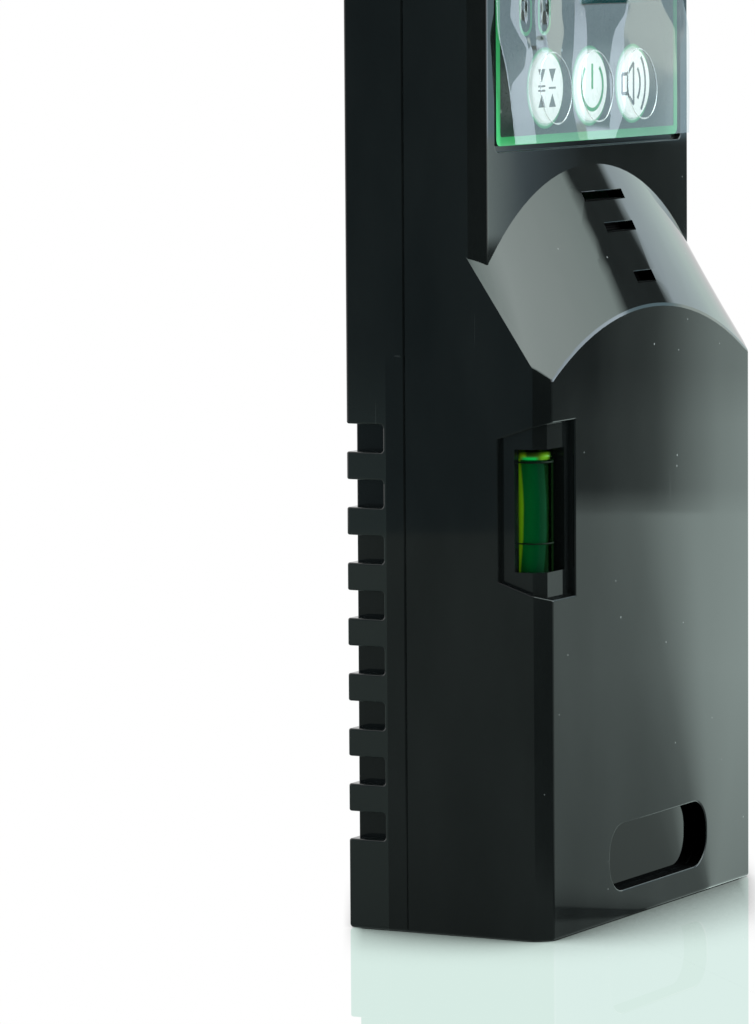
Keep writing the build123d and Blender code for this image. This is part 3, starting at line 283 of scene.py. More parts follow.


@look(Specular_IOR_Level=0.5)
def case_black(tree, shader):
    """Glossy black moulding with dust, fine scratches, a little flow in its surface, painted sheen on its
    grips and painted shade in its recess and slots.
    """
    dust = larger(specks(tree, 260, 0.055, 0.12), specks(tree, 700, 0.1, 0.03))
    scuffs = larger(scratches(tree, (30, 30, 1), 40, 0.22), scratches(tree, (1, 6, 34), 36, 0.2))
    marks = larger(dust, times(scuffs, 0.12))
    smudges = spread(noise(tree, 55, 4, stretch=(1, 1, 0.4)), 0, 1, 0.32, 0.68)
    body = blend(smudges, (0.0026, 0.0036, 0.0038), (0.0088, 0.0106, 0.0108))
    # Painted sheen: the grips' outer faces are lighter below and fade to the plain black towards the top
    painted_sheen = spread(axes(tree)["Z"], 0.6, 0, SHEEN_FADE, GRIP_HIGH[2])
    for side in (-1, 1):
        near, far = sorted((GRIP_LOW[0] * side, GRIP_HIGH[0] * side))
        grip = inside(tree, (near, *GRIP_LOW[1:]), (far, *GRIP_HIGH[1:]))
        body = blend(times(grip, painted_sheen), body, (0.024, 0.03, 0.029))
    colour = blend(times(marks, 0.5), body, DUST)
    # Painted shade: the walls of the recess and the slots stay black, as a metal without colour gives back no
    # light, and the recess's floor loses its own colour to be a plain mirror.
    walls = inside(tree, RECESS_LOW, RECESS_HIGH)
    # The recess and the slots, whose colour is painted black as shade
    shaded_hollow = inside(tree, RECESS_LOW, RECESS_HIGH + RECESS_FLOOR)
    for x, z, half_length, half_height in SOUND_SLOTS:
        low = (x - half_length, CAD_LOW.y, z - half_height)
        slot = inside(tree, low, (x + half_length, 0, z + half_height))
        walls = larger(walls, slot)
        shaded_hollow = larger(shaded_hollow, slot)
    polish = spread(noise(tree, 60, 5, 0.6), 0.025, 0.04, 0.3, 0.7)
    rough = larger(plus(polish, times(marks, 0.35)), walls)
    feed(shader, {"Base Color": blend(shaded_hollow, colour, BLACK), "Metallic": walls, "Roughness": rough})
    flow = noise(tree, 45, 2, stretch=(1, 1, 0.5))
    bump(shader, plus(flow, times(noise(tree, 1500, 2), 0.02)), 0.00012, 0.035)


@look(Specular_IOR_Level=0.5)
def overlay_print(tree, shader):
    """Black ink under a satin polycarbonate face."""
    body = blend(noise(tree, 50, 4), (0.028, 0.044, 0.041), (0.036, 0.054, 0.05))
    colour = blend(times(specks(tree, 420, 0.16, 0.05), 0.6), body, DUST)
    grain = noise(tree, 5200, 2)
    feed(shader, {"Base Color": colour, "Roughness": spread(grain, 0.22, 0.36)})
    bump(shader, grain, 0.00001, 0.12)


# The caps' emission is a painted glow: they glow a little though no lamp lights them
@look(
    Specular_IOR_Level=0.5, Subsurface_Weight=0.15, Subsurface_Radius=(0.6, 1.0, 0.7),
    Subsurface_Scale=0.0006, Emission_Color=(0.95, 1.0, 0.97), Emission_Strength=0.48,
)
def key_white(tree, shader):
    """Milky white key caps with a painted glow that brightens them a little."""
    milk = blend(noise(tree, 160), (0.86, 0.92, 0.88), (0.93, 0.96, 0.94))
    feed(shader, {"Base Color": milk, "Roughness": spread(noise(tree, 700), 0.22, 0.34)})
    bump(shader, noise(tree, 3000, 2), 0.00001, 0.3)


# Clear materials

# The foot of the display, where the film lies close over the window and mirrors little
CLING_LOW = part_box("display_window")[0] - Vector((0.0003, 0.01, 0.0))
CLING_HIGH = Vector((0.0109, 0.0, CLING_LOW.z + 0.0035))
CLING_FADE = 0.001     # height, from its lower edge, at which that begins to fade


def clear_sheet(name, tint, gloss, haze, roughness):
    """See-through plastic: what lies behind it is tinted, and a mirror layer grows towards grazing angles.

    gloss scales the mirror layer, haze is its least share; the shader's own dull part shows as a slight veil.
    """
    material, tree, shader = new_material(name, Metallic=0.75, Roughness=roughness)
    smear = noise(tree, 130, 4, stretch=(1, 1, 0.4))
    feed(shader, {"Base Color": blend(smear, (0.82, 0.86, 0.9), (0.95, 0.97, 1.0))})
    edge = put(tree, "Fresnel", {"IOR": 1.5}).outputs["Fac"]
    share = put(tree, "Math", {0: edge, 1: gloss, 2: haze}, operation="MULTIPLY_ADD").outputs["Value"]
    behind = put(tree, "BsdfTransparent", {"Color": tint}).outputs["BSDF"]
    mixed = put(tree, "MixShader", {0: share, 1: behind, 2: shader.outputs["BSDF"]})
    show(tree, mixed.outputs["Shader"])
    return material, shader, mixed, share


# Polished clear acrylic, the dark red filter in front of the photodiodes, and water-clear lamp resin
for slot_name, tint, haze, roughness in (
    ("clear_acrylic", (0.94, 0.98, 0.95), 0.01, 0.04),
    ("smoked_window", (0.09, 0.006, 0.006), 0.01, 0.06),
    ("led_clear", (0.8, 0.95, 0.82), 0.06, 0.1),
):
    LOOKS[slot_name] = clear_sheet(slot_name, tint, 1.0, haze, roughness)[0]

# Clear window over the display, with a coating that takes off most of its gloss
DISPLAY_CLEAR = clear_sheet("display_clear", (0.9, 0.97, 0.97), 0.12, 0.0, 0.08)[0]


def clear_film(name):
    """Thin shipping film: two faces that mirror, a slight veil, and specks of dust held on it."""
    material, shader, mixed, share = clear_sheet(name, (0.8, 0.82, 0.82), 1.5, 0.02, 0.05)
    tree = material.node_tree
    dust = larger(specks(tree, 260, 0.07, 0.22), specks(tree, 620, 0.1, 0.06))
    fading = spread(axes(tree)["Z"], 0.85, 0, CLING_LOW.z + CLING_FADE, CLING_HIGH.z)
    cling = times(inside(tree, CLING_LOW, CLING_HIGH), fading)
    feed(mixed, {0: larger(times(share, spread(cling, 1, 0)), times(dust, 0.55))})
    bump(shader, noise(tree, 240, 2, stretch=(1, 1, 0.6)), 0.00006, 0.03)
    return material


LOOKS["clear_film"] = clear_film("clear_film")

# Materials inside the case


@look(Specular_IOR_Level=0.2)
def lcd_glass(tree, shader):
    """Unlit display: dark teal, with the faint grid of its electrodes."""
    cloud = noise(tree, 70)
    body = blend(cloud, (0.0, 0.12, 0.125), (0.003, 0.15, 0.15))
    colour = blend(times(stripes(tree, 260), 0.12), body, (0.01, 0.2, 0.19))
    feed(shader, {"Base Color": colour, "Roughness": spread(cloud, 0.12, 0.2)})


@look(Roughness=0.7)
def contact_rubber(tree, shader):
    """Striped elastomer that joins the display to the board."""
    feed(shader, {"Base Color": blend(stripes(tree, 900), (0.03, 0.03, 0.03), (0.5, 0.5, 0.48))})


@look(Specular_IOR_Level=0.5)
def board_green(tree, shader):
    """Green solder mask over the weave of the laminate and its tracks."""
    bricks = {
        "Vector": here(tree), "Scale": 260, "Mortar": (0.03, 0.21, 0.1), "Mortar Size": 0.05,
        "Color1": (0.012, 0.12, 0.05), "Color2": (0.016, 0.14, 0.06),
    }
    tracks = put(tree, "TexBrick", bricks, offset=0.37, squash=2.0).outputs
    weave = noise(tree, 900, 2, stretch=(1, 1, 6))
    feed(shader, {"Base Color": tracks["Color"], "Roughness": spread(weave, 0.25, 0.45)})
    bump(shader, tracks["Fac"], 0.00004, 0.5)


@look(Specular_IOR_Level=0.05)
def screen_cloth(tree, shader):
    """Fine black woven dust screen."""
    weave = times(stripes(tree, 900, "X"), stripes(tree, 900, "Z"))
    colour = blend(weave, (0.002, 0.002, 0.002), (0.012, 0.012, 0.012))
    feed(shader, {"Base Color": colour, "Roughness": spread(weave, 0.9, 0.6)})
    bump(shader, weave, 0.00005, 0.8)


@look(Metallic=0.85)
def battery_jacket(tree, shader):
    """Steel battery jacket under a plain dark lacquer with a bright end."""
    brushed = noise(tree, 30, 4, stretch=(40, 40, 1))
    low, high = (corner.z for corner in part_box("battery"))
    bare = spread(axes(tree)["Z"], 0, 1, between(low, high, 0.72), between(low, high, 0.725))
    dark = blend(brushed, (0.03, 0.032, 0.036), (0.05, 0.052, 0.057))
    bright = blend(brushed, (0.52, 0.30, 0.16), (0.68, 0.42, 0.24))
    feed(shader, {"Base Color": blend(bare, dark, bright), "Roughness": spread(brushed, 0.24, 0.42)})


@look()
def foam_pad(tree, shader):
    """Open-cell grey foam."""
    cells = put(tree, "TexVoronoi", {"Vector": here(tree), "Scale": 2200}).outputs["Distance"]
    colour = blend(cells, (0.02, 0.02, 0.022), (0.12, 0.12, 0.125))
    feed(shader, {"Base Color": colour, "Roughness": spread(cells, 0.98, 0.85)})
    bump(shader, cells, 0.0003, 0.9)


# Clouded materials: one noise sets the colour, in most of them the roughness, and in some a fine relief


def clouded(name, dark, light, scale, detail, rough=None, relief=None, stretch=(1, 1, 1), **values):
    """A colour between two tones, kept as a look; rough is a range, relief a depth and a strength."""
    material, tree, shader = new_material(name, **values)
    cloud = noise(tree, scale, detail, stretch=stretch)
    feed(shader, {"Base Color": blend(cloud, dark, light)})
    if rough:
        feed(shader, {"Roughness": spread(cloud, *rough)})
    if relief:
        bump(shader, cloud, *relief)
    LOOKS[name] = material
    return material


# Smoked green indicator lenses, dark while unlit
lens_tones = (0.006, 0.014, 0.011), (0.014, 0.032, 0.024)
clouded("indicator_green", *lens_tones, 900, 3, (0.06, 0.14), Specular_IOR_Level=0.6)
# Frosted white light guide behind the display
clouded("backlight_white", (0.78, 0.8, 0.79), (0.88, 0.9, 0.89), 900, 3, (0.4, 0.6))
# Matt moulded epoxy
chip_tones = (0.02, 0.02, 0.022), (0.05, 0.05, 0.052)
clouded("chip_black", *chip_tones, 2600, 4, (0.55, 0.75), (0.00002, 0.5))
# Photodiodes: a dark die under clear resin
die_tones = (0.02, 0.012, 0.045), (0.07, 0.05, 0.11)
clouded("diode_dark", *die_tones, 420, 3, (0.3, 0.5), Coat_Weight=1.0, Coat_Roughness=0.05)
# Soft vinyl covers of the leads
clouded("lead_red", (0.42, 0.015, 0.012), (0.58, 0.03, 0.02), 500, 3, (0.35, 0.55))
clouded("lead_black", (0.01, 0.01, 0.01), (0.03, 0.03, 0.03), 500, 3, (0.35, 0.55))
# Turned brass
brass_tones = (0.58, 0.38, 0.13), (0.76, 0.56, 0.26)
clouded("insert_brass", *brass_tones, 120, 3, (0.2, 0.36), (0.00002, 0.4), (1, 30, 1), Metallic=1.0)
# Zinc plated steel
clouded("screw_steel", (0.34, 0.34, 0.36), (0.56, 0.56, 0.58), 800, 4, (0.22, 0.42), Metallic=1.0)
# Green liquid of the top vial
liquid_tones = (0.01, 0.24, 0.03), (0.10, 0.42, 0.02)
clouded("vial_liquid", *liquid_tones, 160, 2, Specular_IOR_Level=0.3, Roughness=0.08)


# Side vial materials: painted light and shade across the vial as the camera sees it, from its left edge to
# its right

VIAL_LIGHT_AND_SHADE = [
    (0.0, (0.1, 0.17, 0.005)),
    (0.03, (0.26, 0.42, 0.015)),
    (0.19, (0.25, 0.4, 0.015)),
    (0.24, (0.001, 0.10, 0.022)),
    (0.60, (0.0, 0.06, 0.022)),
    (0.66, (0.008, 0.05, 0.026)),
    (0.80, (0.009, 0.05, 0.026)),
    (0.83, (0.003, 0.014, 0.003)),
    (1.0, (0.002, 0.006, 0.002)),
]
# Painted glow along the vial's left edge, where light gathers
VIAL_PAINTED_GLOW = [
    (0.0, (0.02, 0.03, 0.0)),
    (0.03, (0.036, 0.055, 0.0)),
    (0.19, (0.034, 0.052, 0.0)),
    (0.24, BLACK),
]
# Painted light across the meniscus as the camera sees it, from its left edge to its right
MENISCUS_LIGHT_BANDS = [
    (0.0, (0.30, 0.36, 0.01)),
    (0.10, (0.62, 0.72, 0.02)),
    (0.24, (0.50, 0.62, 0.02)),
    (0.32, (0.10, 0.12, 0.02)),
    (0.58, (0.12, 0.16, 0.02)),
    (0.70, (0.30, 0.44, 0.02)),
    (0.84, (0.26, 0.40, 0.02)),
    (0.92, (0.03, 0.05, 0.01)),
]
LIQUID_BOTTOM, LIQUID_TOP = (corner.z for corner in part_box("side_vial_liquid"))
BOW_FOOT = LIQUID_BOTTOM + 0.003     # from here to the top, the bands in the liquid are bowed
BOW = 0.16
RIM = (0.84, 0.9)                    # places, from the tube's middle, where its edges painted with the liquid's light begin
RIM_TOP = LIQUID_TOP + 0.0002
GREEN_HIGHLIGHT_FOOT = (LIQUID_TOP + 0.00025, LIQUID_TOP + 0.0006)     # heights where the meniscus's painted green highlight fades out


def across_vial(tree):
    """Place across the side vial, from -1 on its left edge to 1 on its right as seen, and the height."""
    low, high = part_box("side_vial")
    middle = (low + high) / 2
    spot = axes(tree)
    x = times(math_node("SUBTRACT", spot["X"], middle.x), VIEW_RIGHT.x)
    y = times(math_node("SUBTRACT", spot["Y"], middle.y), VIEW_RIGHT.y)
    return math_node("DIVIDE", plus(x, y), (high.x - low.x) / 2), spot["Z"]


def paint_vial_light(shader, across):
    """Paints light and shade across the vial, with a painted glow along its left edge where the light
    gathers.
    """
    share = spread(across, 0, 1, -1, 1)
    colour, glow = colour_ramp(share, VIAL_LIGHT_AND_SHADE), colour_ramp(share, VIAL_PAINTED_GLOW)
    feed(shader, {"Base Color": colour, "Emission Color": glow, "Emission Strength": 1.0})


def side_liquid(name):
    """The liquid of the side vial, with painted light gathered along its left edge and painted shade on its
    right edge.
    """
    material, tree, shader = new_material(name, Specular_IOR_Level=0.06, Roughness=0.15)
    across, height = across_vial(tree)
    off_middle = spread(height, -1, 1, BOW_FOOT, LIQUID_TOP)
    uneven = spread(noise(tree, 160, 2), -0.03, 0.03)
    paint_vial_light(shader, plus(across, times(off_middle, off_middle, BOW), uneven))
    return material


def vial_tube(name):
    """Clear tube of the side vial. Its walls bend the liquid's light, so their edges are painted with its
    light and shade.
    """
    material, shader, mixed, share = clear_sheet(name, (0.85, 0.97, 0.9), 0.02, 0.0, 0.1)
    feed(shader, {"Metallic": 0.0, "Specular IOR Level": 0.0})
    across, height = across_vial(material.node_tree)
    paint_vial_light(shader, across)
    rim = spread(math_node("ABSOLUTE", across, 0), 0, 1, *RIM)
    below = spread(height, 1, 0, LIQUID_TOP, RIM_TOP)
    feed(mixed, {0: larger(share, times(rim, below))})
    return material


def meniscus_look(name):
    """Liquid that climbs the tube, with painted light across it as seen: yellow where it is thin, a painted
    bright green highlight along its foot.
    """
    material, tree, shader = new_material(name, Specular_IOR_Level=0.3, Roughness=0.1)
    across, height = across_vial(tree)
    bands = colour_ramp(spread(across, 0, 1, -1, 1), MENISCUS_LIGHT_BANDS)
    foot = spread(height, 1, 0, *GREEN_HIGHLIGHT_FOOT)
    middle = spread(math_node("ABSOLUTE", plus(across, 0.25), 0), 1, 0, 0.3, 0.5)
    feed(shader, {"Base Color": blend(times(foot, middle), bands, (0.01, 0.75, 0.16))})
    return material


# Inks

# Painted glow round each key: white next to it, fading into the ring's green print
RING_GLOW_BANDS = [
    (0.0, (0.86, 0.95, 0.90)),
    (0.35, (0.55, 0.85, 0.65)),
    (0.6, (0.13, 0.51, 0.25)),
    (1.0, (0.04, 0.33, 0.115)),
]
GREEN_TONES = (0.05, 0.45, 0.15), (0.066, 0.53, 0.185)
SHADED_GREEN_TONES = (0.02, 0.22, 0.075), (0.028, 0.27, 0.092)
GREEN_GLOSS = 0.25
SHADE_START = -0.02      # place across the panel from which painted shade darkens the border's ink
LAY = (1400, 3)             # scale and detail of the noise in an ink's uneven lay
LAY_ROUGH = (0.3, 0.45)


def ink(name, dark, light, gloss=0.5):
    """Printed ink with a slightly uneven lay."""
    return clouded(name, dark, light, *LAY, LAY_ROUGH, Specular_IOR_Level=gloss)


def border_ink(name):
    """Green ink of the border, darkened towards the right by painted shade."""
    material, tree, shader = new_material(name, Specular_IOR_Level=GREEN_GLOSS)
    lay = noise(tree, *LAY)
    # Painted shade: the border's green darkens towards the right
    shaded = spread(axes(tree)["X"], 0, 1, SHADE_START, CAD_HIGH.x)
    colour = blend(shaded, blend(lay, *GREEN_TONES), blend(lay, *SHADED_GREEN_TONES))
    feed(shader, {"Base Color": colour, "Roughness": spread(lay, *LAY_ROUGH)})
    return material


def glowing_ring_ink(name, pitch, middle_z, inner, outer):
    """Green ring ink with a painted glow: white next to the nearest of a row of keys, fading to green away
    from it; sizes in metres.
    """
    material, tree, shader = new_material(name, Specular_IOR_Level=0.5, Roughness=0.35)
    spot = axes(tree)
    key = math_node("ROUND", math_node("DIVIDE", spot["X"], pitch), 0)
    off_x = math_node("SUBTRACT", spot["X"], times(key, pitch))
    off_z = math_node("SUBTRACT", spot["Z"], middle_z)
    offset = put(tree, "CombineXYZ", {"X": off_x, "Z": off_z}).outputs["Vector"]
    radius = put(tree, "VectorMath", {0: offset}, operation="LENGTH").outputs["Value"]
    uneven = spread(noise(tree, 900), -0.08, 0.08)
    feed(shader, {"Base Color": colour_ramp(plus(spread(radius, 0, 1, inner, outer), uneven), RING_GLOW_BANDS)})
    return material


GREEN_INK = ink("green_ink", *GREEN_TONES, GREEN_GLOSS)
GREY_INK = ink("grey_ink", (0.16, 0.18, 0.175), (0.24, 0.26, 0.25))
DARK_INK = ink("dark_ink", (0.06, 0.07, 0.07), (0.11, 0.12, 0.12))
LINE_INK = ink("line_ink", (0.003, 0.008, 0.004), (0.006, 0.014, 0.008), 0.1)
SEGMENT_INK = ink("segment_ink", (0.0, 0.06, 0.064), (0.001, 0.076, 0.08), 0.2)

# Each CAD node takes a look of its own or that of its slot

OWN_LOOKS = {
    "side_vial": vial_tube("vial_tube"),
    "side_vial_liquid": side_liquid("side_liquid"),
    "display_window": DISPLAY_CLEAR,
}
for node_name, node_object in NODES.items():
    node_object.data.materials.clear()
    node_object.data.materials.append(OWN_LOOKS.get(node_name) or LOOKS[SLOTS[node_name]])

# Mesh helpers


def new_piece(name, tool, material, body, smooth=True):
    """Turns a bmesh into a piece that rides on a body."""
    mesh = bpy.data.meshes.new(name)
    bmesh.ops.recalc_face_normals(tool, faces=tool.faces)
    tool.to_mesh(mesh)
    tool.free()
    for polygon in mesh.polygons:
        polygon.use_smooth = smooth
    piece = bpy.data.objects.new(name, mesh)
    SCENE.collection.objects.link(piece)
    mesh.materials.append(material)
    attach(piece, body)
    return piece


def skin(tool, loops, closed=True):
    """Faces between neighbouring loops of points; a closed loop joins its last point to its first."""
    for near_loop, far_loop in zip(loops, loops[1:]):
        pairs = list(zip(near_loop, far_loop))
        followers = pairs[1:] + (pairs[:1] if closed else [])
        for (near, far), (near_after, far_after) in zip(pairs, followers):
            tool.faces.new((near, near_after, far_after, far))


def add_plate(tool, rings, front, thick):
    """A flat plate facing -Y with straight walls. The first ring is its outline, a second one a hole in it.

    Rings are lists of (x, z) in millimetres; with a hole, both rings have the same number of points.
    """
    layers = []
    for depth in (front, front + thick):
        layers.append([[tool.verts.new(Vector((x, depth, z)) * MM) for x, z in ring] for ring in rings])
    for layer in layers:
        if len(rings) == 1:
            tool.faces.new(layer[0])
        else:
            skin(tool, layer)
    for near, far in zip(*layers):
        skin(tool, [near, far])


def print_shapes(name, shapes, face, material, body):
    """Prints shapes on a face that looks to -Y; a shape is the rings of a plate."""
    tool = bmesh.new()
    for rings in shapes:
        add_plate(tool, rings, face - INK_THICK, INK_THICK)
    new_piece(name, tool, material, body, smooth=False)


def moved(outlines, middle):
    """Shapes without holes, from outlines that are drawn round the origin."""
    return [[[(middle[0] + x, middle[1] + z) for x, z in outline]] for outline in outlines]


def polar(middle, radius, turn):
    """Point at a distance from a middle and at a turn, in radians, from the first axis to the second."""
    return middle[0] + radius * math.cos(turn), middle[1] + radius * math.sin(turn)


def circle(middle, radius, count=72):
    """Points on a circle."""
    return [polar(middle, radius, math.tau * index / count) for index in range(count)]


def arc(middle, radius, start, end, steps=24):
    """Points along an arc, angles in degrees from +X towards +Z."""
    turns = [math.radians(start + (end - start) * step / steps) for step in range(steps + 1)]
    return [polar(middle, radius, turn) for turn in turns]


def obround(middle, width, height, count=48):
    """Points on an upright slot outline with round ends."""
    radius = width / 2
    points = []
    for index in range(count):
        turn = math.tau * (index + 0.5) / count
        rise = math.copysign(height / 2 - radius, math.sin(turn))
        points.append(polar((middle[0], middle[1] + rise), radius, turn))
    return points


def rounded_box(low, high, radius):
    """Points on a rectangle with round corners."""
    left, right = low[0] + radius, high[0] - radius
    bottom, top = low[1] + radius, high[1] - radius
    points = []
    for quarter, middle in enumerate(((right, top), (left, top), (left, bottom), (right, bottom))):
        points += arc(middle, radius, 90 * quarter, 90 * quarter + 90, steps=6)
    return points


def stroke(points, width):
    """Outline of a line of one width along an open row of points."""
    left = []
    right = []
    for index, (x, z) in enumerate(points):
        before = points[max(index - 1, 0)]
        after = points[min(index + 1, len(points) - 1)]
        along = Vector((after[0] - before[0], after[1] - before[1])).normalized()
        left.append((x - along.y * width / 2, z + along.x * width / 2))
        right.append((x + along.y * width / 2, z - along.x * width / 2))
    return left + right[::-1]


# Print on the overlay: the green border, darker towards the right with painted shade, a ring round each key
# with a painted glow next to it, and round each indicator

INK_THICK = 0.03
OVERLAY_LOW, OVERLAY_HIGH = in_mm("keypad_overlay")
OVERLAY_FACE = OVERLAY_LOW.y
BORDER_WIDTH = 1.25
CORNER_ROUND = 1.0
KEY_NAMES = ("key_resolution", "key_power", "key_sound")
RING_INNER = 5.14
RING_OUTER = 5.85

LENS_LOW, LENS_HIGH = in_mm("indicator_lenses")
LENS_FIT = 0.1             # gap between a lens and its ring
LENS_RIM = 0.55            # width of the ring
LENS_WIDTH = 3.0           # inside the ring, like the height
LENS_HEIGHT = LENS_HIGH.z - LENS_LOW.z + 2 * LENS_FIT
LENS_LEVEL = (LENS_LOW.z + LENS_HIGH.z) / 2
LENS_PLACES = (LENS_LOW.x - LENS_FIT + LENS_WIDTH / 2, LENS_HIGH.x + LENS_FIT - LENS_WIDTH / 2)


def key_middle(name):
    """Middle of a key's face in X and Z, and the depth of its face."""
    low, high = in_mm(name)
    return ((low.x + high.x) / 2, (low.z + high.z) / 2), low.y


def overlay_outline(inset, radius):
    """Outline of the overlay, drawn in by an inset."""
    low = (OVERLAY_LOW.x + inset, OVERLAY_LOW.z + inset)
    high = (OVERLAY_HIGH.x - inset, OVERLAY_HIGH.z - inset)
    return rounded_box(low, high, radius)


def print_on_overlay(name, shapes, material):
    """Prints shapes on the overlay's face."""
    print_shapes(name, shapes, OVERLAY_FACE, material, "case")


border = [overlay_outline(0, CORNER_ROUND), overlay_outline(BORDER_WIDTH, CORNER_ROUND / 3)]
print_on_overlay("border_print", [border], border_ink("border_ink"))

key_middles = [key_middle(key_name)[0] for key_name in KEY_NAMES]
key_pitch = key_middles[2][0] - key_middles[1][0]
GLOWING_RING_INK = glowing_ring_ink("glowing_ring_ink", key_pitch * MM, key_middles[1][1] * MM, RING_INNER * MM, RING_OUTER * MM)
for key_name, middle in zip(KEY_NAMES, key_middles):
    print_on_overlay(f"{key_name}_ring", [[circle(middle, RING_OUTER), circle(middle, RING_INNER)]], GLOWING_RING_INK)

lens_rings = []
for place in LENS_PLACES:
    middle = (place, LENS_LEVEL)
    outer = obround(middle, LENS_WIDTH + 2 * LENS_RIM, LENS_HEIGHT + 2 * LENS_RIM)
    lens_rings.append([outer, obround(middle, LENS_WIDTH, LENS_HEIGHT)])
print_on_overlay("indicator_rings", lens_rings, GREEN_INK)

# Symbols on the keys, drawn round a key's middle


def symbol(key_name, outlines, material):
    """Prints closed outlines on a key's face."""
    middle, face = key_middle(key_name)
    print_shapes(f"{key_name}_symbol", moved(outlines, middle), face, material, key_name)


COLUMNS = (-2.0, 1.4)
TRIANGLE = (1.1, 0.85, 2.75)         # half width, height of its tip, height of its far side
BAR = (1.1, 0.28)                    # half length, width
BAR_LIFTS = ((0.3, -0.35), (0.0,))

outlines = []
half, near, far = TRIANGLE
for column, lifts in zip(COLUMNS, BAR_LIFTS):
    for up in (1, -1):
        outlines.append([(column, up * near), (column + half, up * far), (column - half, up * far)])
    for lift in lifts:
        outlines.append(stroke([(column - BAR[0], lift), (column + BAR[0], lift)], BAR[1]))
symbol("key_resolution", outlines, GREY_INK)

POWER_RADIUS = 3.5
POWER_GAP = 42                       # degrees from the top to each end of the open ring
POWER_BAR = ((0, -0.5), (0, 3.2))
POWER_WIDTH = 0.55
open_ring = arc((0, 0), POWER_RADIUS, 90 + POWER_GAP, 450 - POWER_GAP, 60)
symbol("key_power", [stroke(open_ring, POWER_WIDTH), stroke(POWER_BAR, POWER_WIDTH)], GREEN_INK)

SPEAKER_WIDTH = 0.5
SPEAKER_BOX = (-4.5, -2.6, 1.45)     # left, right, half height
SPEAKER_CONE = (-0.6, 3.1)           # right, half height
WAVES = ((3.35, -1.75), (5.8, -2.4))     # radius, place of its middle
WAVE_TURN = 42                       # degrees to each side
box_left, box_right, box_half = SPEAKER_BOX
cone_right, cone_half = SPEAKER_CONE
corners = [
    (box_left, -box_half), (box_left, box_half), (box_right, box_half), (cone_right, cone_half),
    (cone_right, -cone_half), (box_right, -box_half),
]
lines = [[corners[index - 1], corners[index]] for index in range(len(corners))]
lines.append([(box_right, -box_half), (box_right, box_half)])
lines += [arc((place, 0), radius, -WAVE_TURN, WAVE_TURN) for radius, place in WAVES]
symbol("key_sound", [stroke(line, SPEAKER_WIDTH) for line in lines], DARK_INK)

# Side vial: the edge of the liquid that climbs the tube, and the lines printed on the tube

TUBE_LOW, TUBE_HIGH = in_mm("side_vial")
LIQUID_LOW, LIQUID_HIGH = in_mm("side_vial_liquid")
TUBE_MIDDLE = (TUBE_LOW + TUBE_HIGH) / 2
TUBE_RADIUS = (TUBE_HIGH.x - TUBE_LOW.x) / 2
LIQUID_RADIUS = (LIQUID_HIGH.x - LIQUID_LOW.x) / 2
TURN_STEPS = 64
MENISCUS_RISE = 1.15
MENISCUS_FOOT = 0.02                 # its height over the liquid's face
# Parts of the radius and of the rise, from the tube inwards
MENISCUS_CLIMB = ((1.0, 1.0), (0.93, 0.62), (0.82, 0.36), (0.62, 0.16), (0.4, 0.06))
TUBE_LINES = ((56.45, 0.2), (68.0, 0.26))     # height above the base, width


def turned_piece(name, profile, material):
    """A solid of revolution about the side vial from a closed profile of (radius, height) points."""
    tool = bmesh.new()
    loops = []
    for step in range(TURN_STEPS):
        loop = []
        for radius, height in profile:
            x, y = polar(TUBE_MIDDLE, radius, math.tau * step / TURN_STEPS)
            loop.append(tool.verts.new(Vector((x, y, height)) * MM))
        loops.append(loop)
    skin(tool, loops + loops[:1])
    new_piece(name, tool, material, "case")


climb = [(share, MENISCUS_RISE * rise) for share, rise in MENISCUS_CLIMB]
climb += [(MENISCUS_CLIMB[-1][0], MENISCUS_FOOT), (MENISCUS_CLIMB[0][0], MENISCUS_FOOT)]
profile = [(LIQUID_RADIUS * share, LIQUID_HIGH.z + rise) for share, rise in climb]
turned_piece("side_vial_meniscus", profile, meniscus_look("meniscus"))

for number, (height, width) in enumerate(TUBE_LINES):
    outer, top = TUBE_RADIUS + INK_THICK, height + width
    profile = [(TUBE_RADIUS, height), (outer, height), (outer, top), (TUBE_RADIUS, top)]
    turned_piece(f"side_vial_line_{number}", profile, LINE_INK)

# Shipping film over the panel: lifted and creased, lying flat only along its top

